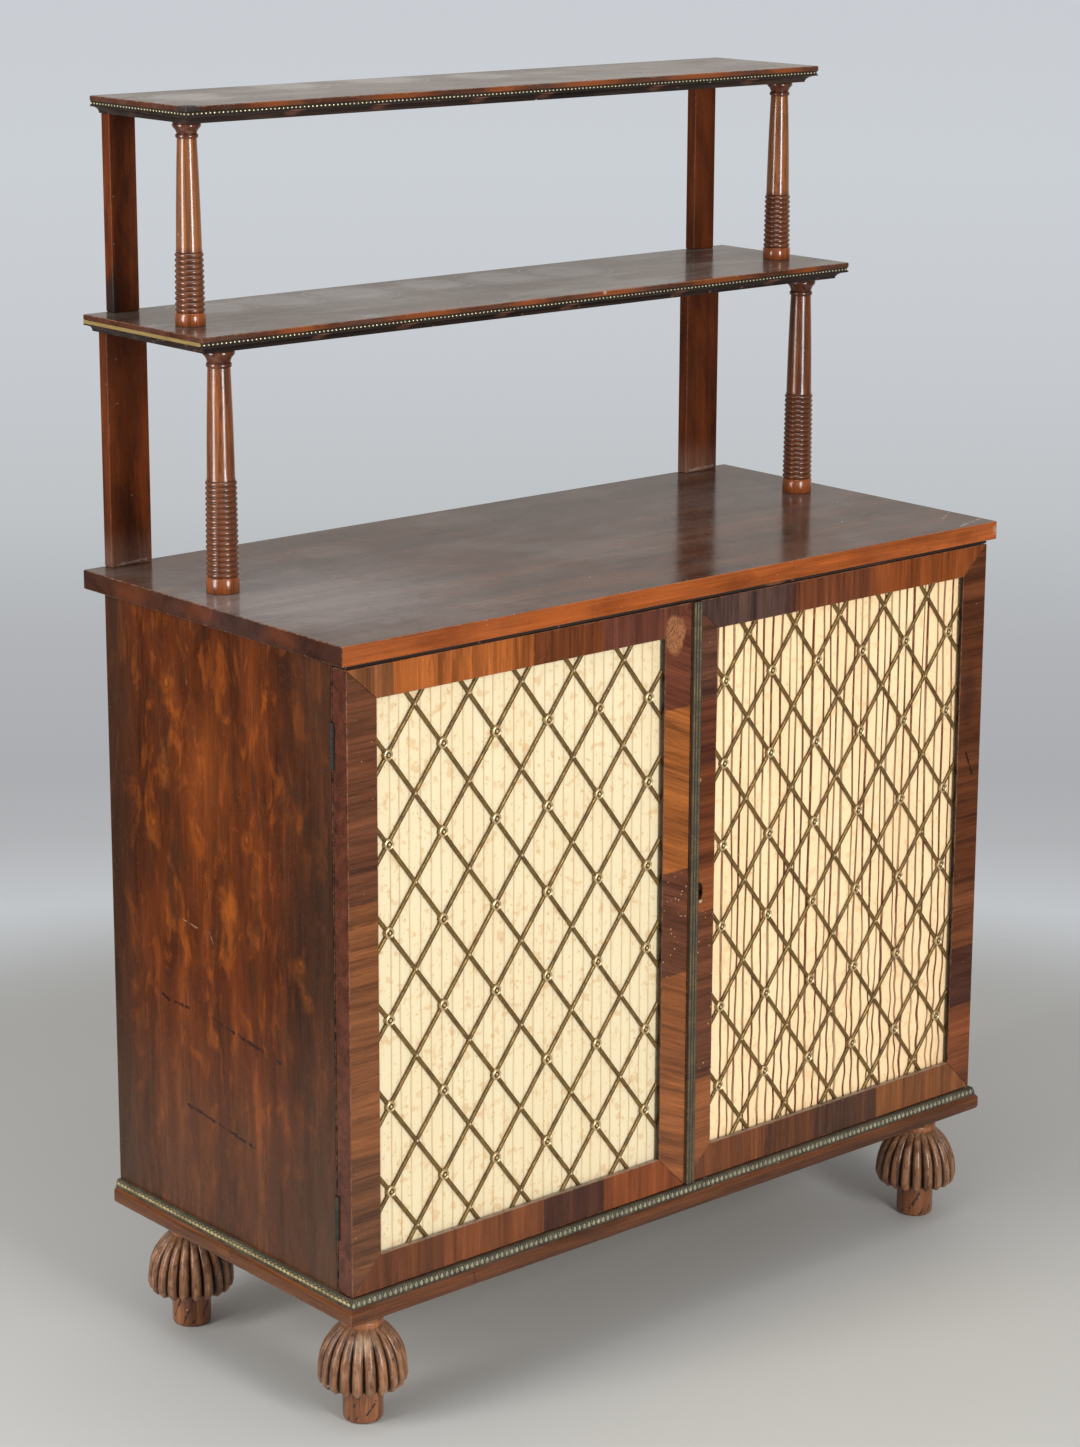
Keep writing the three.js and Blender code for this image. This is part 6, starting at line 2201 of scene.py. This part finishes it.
@dataclass
class Hardware:
    """Astragal, hinges, lock and bolts."""

    face: float = FACE
    low: float = 155.1
    high: float = 794.5
    strip_x: float = 0.7
    strip_width: float = 11.6
    strip_thickness: float = 3.5
    reeds: int = 3
    hinge_x: float = 441.0
    hinge_length: float = 46.0
    hinge_lows: tuple[tuple[str, float], ...] = (("upper", 693.6), ("lower", 210.0))
    hinge_screws: tuple[float, ...] = (8.0, 23.0, 38.0)
    case_screw_y: float = -188.95
    door_screw_y: float = -189.55
    lock_screw_y: float = -189.72
    hinge_end_play: float = 0.2

    def astragal(self) -> None:
        """The reeded brass strip on the right door's meeting edge."""
        y = self.face - 0.1
        base, pitch = 1.5, self.strip_width / self.reeds
        outline = [(self.strip_x, y), (self.strip_x, y - base)]
        for k in range(self.reeds):
            start = self.strip_x + pitch * k
            rise = self.strip_thickness - base
            for step in range(0, 9):
                a = math.pi * (0.06 + 0.88 * step / 8)
                outline.append((start + pitch / 2 - pitch * 0.5 * math.cos(a), y - base - rise * math.sin(a) ** 0.9))
        end = self.strip_x + self.strip_width
        outline += [(end, y - base), (end, y)]
        points = [(px, py, z) for z in (self.low, self.high) for px, py in outline]
        mesh = mesh_of("astragal", points, run(2, len(outline)), 55)
        material = ASTRAGAL_BRASS.make("astragal", 1.0)
        finish_piece("astragal_strip", mesh, material, "right_door", ["astragal"])

    def hinges(self) -> None:
        """Four butt hinges with their screws."""
        for side in Side:
            for level, low in self.hinge_lows:
                for leaf, body in (("case", "carcase"), ("door", side.word + "_door")):
                    node = f"{side.word}_{level}_hinge_{leaf}_leaf"
                    shape = soften(node, 0.25)
                    if leaf == "case":
                        self.shorten(shape, low + self.hinge_length / 2)
                    finish_piece(node + "_finished", shape, HINGE_BRASS.make(node, 8.0), body, [node])
                    material = IRON.make(node + "_screws", 2.0)
                    y, out = (self.case_screw_y, -1) if leaf == "case" else (self.door_screw_y, 1)
                    places = [(side.value * self.hinge_x, y, low + z) for z in self.hinge_screws]
                    studded(node + "_screws", screw(2.3), places, (0, out, 0), material, body, 3.1, 5)

    def shorten(self, mesh: bpy.types.Mesh, middle: float) -> None:
        """Draws a leaf's ends in, so that they clear the door's pocket when the door is wide open.

        Args:
            mesh: the leaf's mesh, in metres.
            middle: the height of its middle, in millimetres.
        """
        share = 1 - 2 * self.hinge_end_play / self.hinge_length
        for v in mesh.vertices:
            v.co.z = middle * MM + (v.co.z - middle * MM) * share

    def lock(self) -> None:
        """The lock's case and bolt."""
        dress_metal("lock_case", IRON, 0.4, 1.0)
        dress_metal("lock_bolt", ASTRAGAL_BRASS, 0.4, 1.5)
        material = IRON.make("lock_screws", 2.0)
        places = [(x, self.lock_screw_y, z) for x in (6.0, 21.0) for z in (459.0, 495.0)]
        studded("lock_screws", screw(2.2), places, (0, 1, 0), material, "right_door", 3.1, 9)

    def bolts(self) -> None:
        """Two sliding bolts on the back of the left door."""
        for end in ("top", "bottom"):
            dress_metal(f"{end}_bolt_plate", ASTRAGAL_BRASS, 0.3, 2.0)
            dress_metal(f"{end}_bolt", ASTRAGAL_BRASS, 0.5, 3.0)

    def build(self) -> None:
        """Makes all the metalwork."""
        self.astragal()
        self.hinges()
        self.lock()
        self.bolts()


# Floor, light and camera

@dataclass
class Studio:
    """A pale floor that fades into a pale surround, tall soft lights and the photograph's camera."""

    floor_near: float = 0.98
    floor_far: float = 1.5
    floor_colour: RGB = (0.485, 0.482, 0.46)
    high_colour: RGB = (0.5, 0.46, 0.43)
    low_colour: RGB = (0.36, 0.34, 0.32)
    wall: tuple[tuple[float, RGB], ...] = (
        (-0.37, (0.49, 0.49, 0.475)), (-0.34, (0.42, 0.42, 0.4)), (-0.325, (0.48, 0.49, 0.5)),
        (-0.309, (0.54, 0.56, 0.58)), (-0.29, (0.445, 0.45, 0.465)), (-0.272, (0.41, 0.415, 0.43)),
        (-0.235, (0.44, 0.45, 0.47)), (-0.2, (0.52, 0.545, 0.565)), (-0.15, (0.575, 0.6, 0.63)),
        (-0.1, (0.6, 0.63, 0.665)), (-0.05, (0.585, 0.61, 0.65)))
    dark_colour: RGB = (0.09, 0.09, 0.095)
    fill: float = 0.52
    left_power: float = 40.0
    front_power: float = 80.0
    top_power: float = 16.0
    azimuth: float = -41.146
    elevation: float = 13.79
    roll: float = 0.303
    distance: float = 3.7495
    target: Place = (0.025, 0.02025, 0.7022)
    focal_pixels: float = 3448.8
    middle: tuple[float, float] = (561.9, 644.6)
    size: tuple[int, int] = (1080, 1447)

    def floor(self) -> None:
        """A round floor that fades out before the camera could see its rim."""
        points, faces = turned([(r, 0.0) for r in (0.0, 600.0, 1200.0, 1800.0)], 96)
        mesh = bare("floor", points, faces)
        g, place, made = begin("floor_finish")
        far = g.vector("LENGTH", place)
        fade = g.span(far, self.floor_far * 1000, self.floor_near * 1000)
        cloud = g.noise(place, 0.004, 3.0)
        colour = g.mix(g.times(cloud, 0.25), self.floor_colour, (0.41, 0.42, 0.43))
        shader = g.add("ShaderNodeBsdfPrincipled", {"Base Color": colour, "Roughness": 0.6, "Alpha": fade})
        g.add("ShaderNodeOutputMaterial", {0: shader.outputs[0]})
        mesh.materials.append(made)
        put("floor", mesh)

    def surround(self) -> None:
        """The world: a soft fill, which camera and gloss see as the pale backdrop."""
        world = bpy.data.worlds.new("surround")
        bpy.context.scene.world = world
        world.use_nodes = True
        world.node_tree.nodes.clear()
        g = Graph(world.node_tree)
        up = g.add("ShaderNodeSeparateXYZ", {0: g.add("ShaderNodeTexCoord").outputs["Generated"]}).outputs[2]
        ramp = g.add("ShaderNodeValToRGB", {0: g.math("MULTIPLY_ADD", up, 1.0, 0.5)})
        points = ramp.color_ramp.elements
        for k, (height, shade) in enumerate(self.wall):
            point = points[k] if k < 2 else points.new(height + 0.5)
            point.position, point.color = height + 0.5, (*shade, 1.0)
        wall = ramp.outputs[0]
        seen = g.mix(g.span(up, -0.42, -0.03), self.low_colour, self.high_colour)
        a = math.radians(self.azimuth)
        toward = g.vector("DOT_PRODUCT", g.add("ShaderNodeTexCoord").outputs["Generated"],
                          (math.sin(a), -math.cos(a), 0.0))
        room = g.mix(g.span(toward, -0.85, -0.25), seen, self.dark_colour)
        fill = g.add("ShaderNodeBackground", {"Color": (1.0, 1.0, 1.0), "Strength": self.fill}).outputs[0]
        rays = g.add("ShaderNodeLightPath").outputs
        shown = g.mix(rays["Is Camera Ray"], room, wall)
        drop = g.add("ShaderNodeBackground", {"Color": shown, "Strength": 1.0}).outputs[0]
        bent = g.math("MAXIMUM", rays["Is Glossy Ray"], rays["Is Transmission Ray"])
        either = g.math("MAXIMUM", rays["Is Camera Ray"], bent)
        both = g.add("ShaderNodeMixShader", {0: either, 1: fill, 2: drop}).outputs[0]
        g.add("ShaderNodeOutputWorld", {0: both})

    def lamp(self, name: str, power: float, size: tuple[float, float], place: Place, aim: Place) -> None:
        """One soft light.

        Args:
            name: its name.
            power: in watts.
            size: width and height, in metres.
            place: where it stands.
            aim: what it looks at.
        """
        data = bpy.data.lights.new(name, "AREA")
        data.shape, data.size, data.size_y, data.energy = "RECTANGLE", *size, power
        lamp = bpy.data.objects.new(name, data)
        bpy.context.scene.collection.objects.link(lamp)
        lamp.location = place
        lamp.rotation_euler = (Vector(aim) - Vector(place)).to_track_quat("-Z", "Y").to_euler()

    def lamps(self) -> None:
        """A tall light at the left, one in front, and a broad one above."""
        self.lamp("left_light", self.left_power, (0.6, 1.9), (-2.3, 0.12, 1.25), (0, 0, 0.75))
        self.lamp("front_light", self.front_power, (0.8, 1.9), (-0.35, -3.2, 1.3), (0, 0, 0.75))
        self.lamp("top_light", self.top_power, (1.6, 1.2), (-0.4, -0.4, 3.0), (0, 0, 0.7))

    def camera(self) -> None:
        """The camera, where the photograph was taken from."""
        a, e, r = (math.radians(v) for v in (self.azimuth, self.elevation, self.roll))
        back = Vector((math.sin(a) * math.cos(e), -math.cos(a) * math.cos(e), math.sin(e)))
        right = Vector((math.cos(a), math.sin(a), 0.0))
        up = back.cross(right)
        right, up = right * math.cos(r) + up * math.sin(r), up * math.cos(r) - right * math.sin(r)
        data = bpy.data.cameras.new("camera")
        wide, tall = self.size
        data.sensor_width = 36.0
        data.lens = self.focal_pixels / tall * data.sensor_width
        data.shift_x = (wide / 2 - self.middle[0]) / tall
        data.shift_y = (self.middle[1] - tall / 2) / tall
        camera = bpy.data.objects.new("camera", data)
        bpy.context.scene.collection.objects.link(camera)
        place = Vector(self.target) + back * self.distance
        turn = Matrix((right, up, back)).transposed().to_4x4()
        camera.matrix_world = Matrix.Translation(place) @ turn
        bpy.context.scene.camera = camera
        bpy.context.scene.view_settings.view_transform = "Standard"

    def build(self) -> None:
        """Sets the scene."""
        self.floor()
        self.surround()
        self.lamps()
        self.camera()


# Besides their own stains and folds, the right sheet's cloth is lighter than the left's: painted light, making up for
# the front lamp reaching the right door less.
LEFT_SILK = SilkFinish((0.775, 0.665, 0.43), (0.745, 0.585, 0.34), (0.53, 0.31, 0.16), fold_share=0.7)
RIGHT_SILK = SilkFinish((0.94, 0.705, 0.405), (0.86, 0.56, 0.285), (0.125, 0.026, 0.006), fold_share=1.0,
                        spot_share=0.5, fold_edge=0.32)


def main() -> None:
    """Builds every sub-assembly in order."""
    logging.basicConfig(level=logging.INFO, format="%(name)s: %(message)s")
    Repeats.build()
    Case().build()
    Plinth().build()
    Feet().build()
    OpenShelves().build()
    Door(Side.LEFT, 29, 0.45, LEFT_SILK).build()
    Door(Side.RIGHT, 32, 2.0, RIGHT_SILK).build()
    Hardware().build()
    Studio().build()


if __name__ == "__main__":
    main()
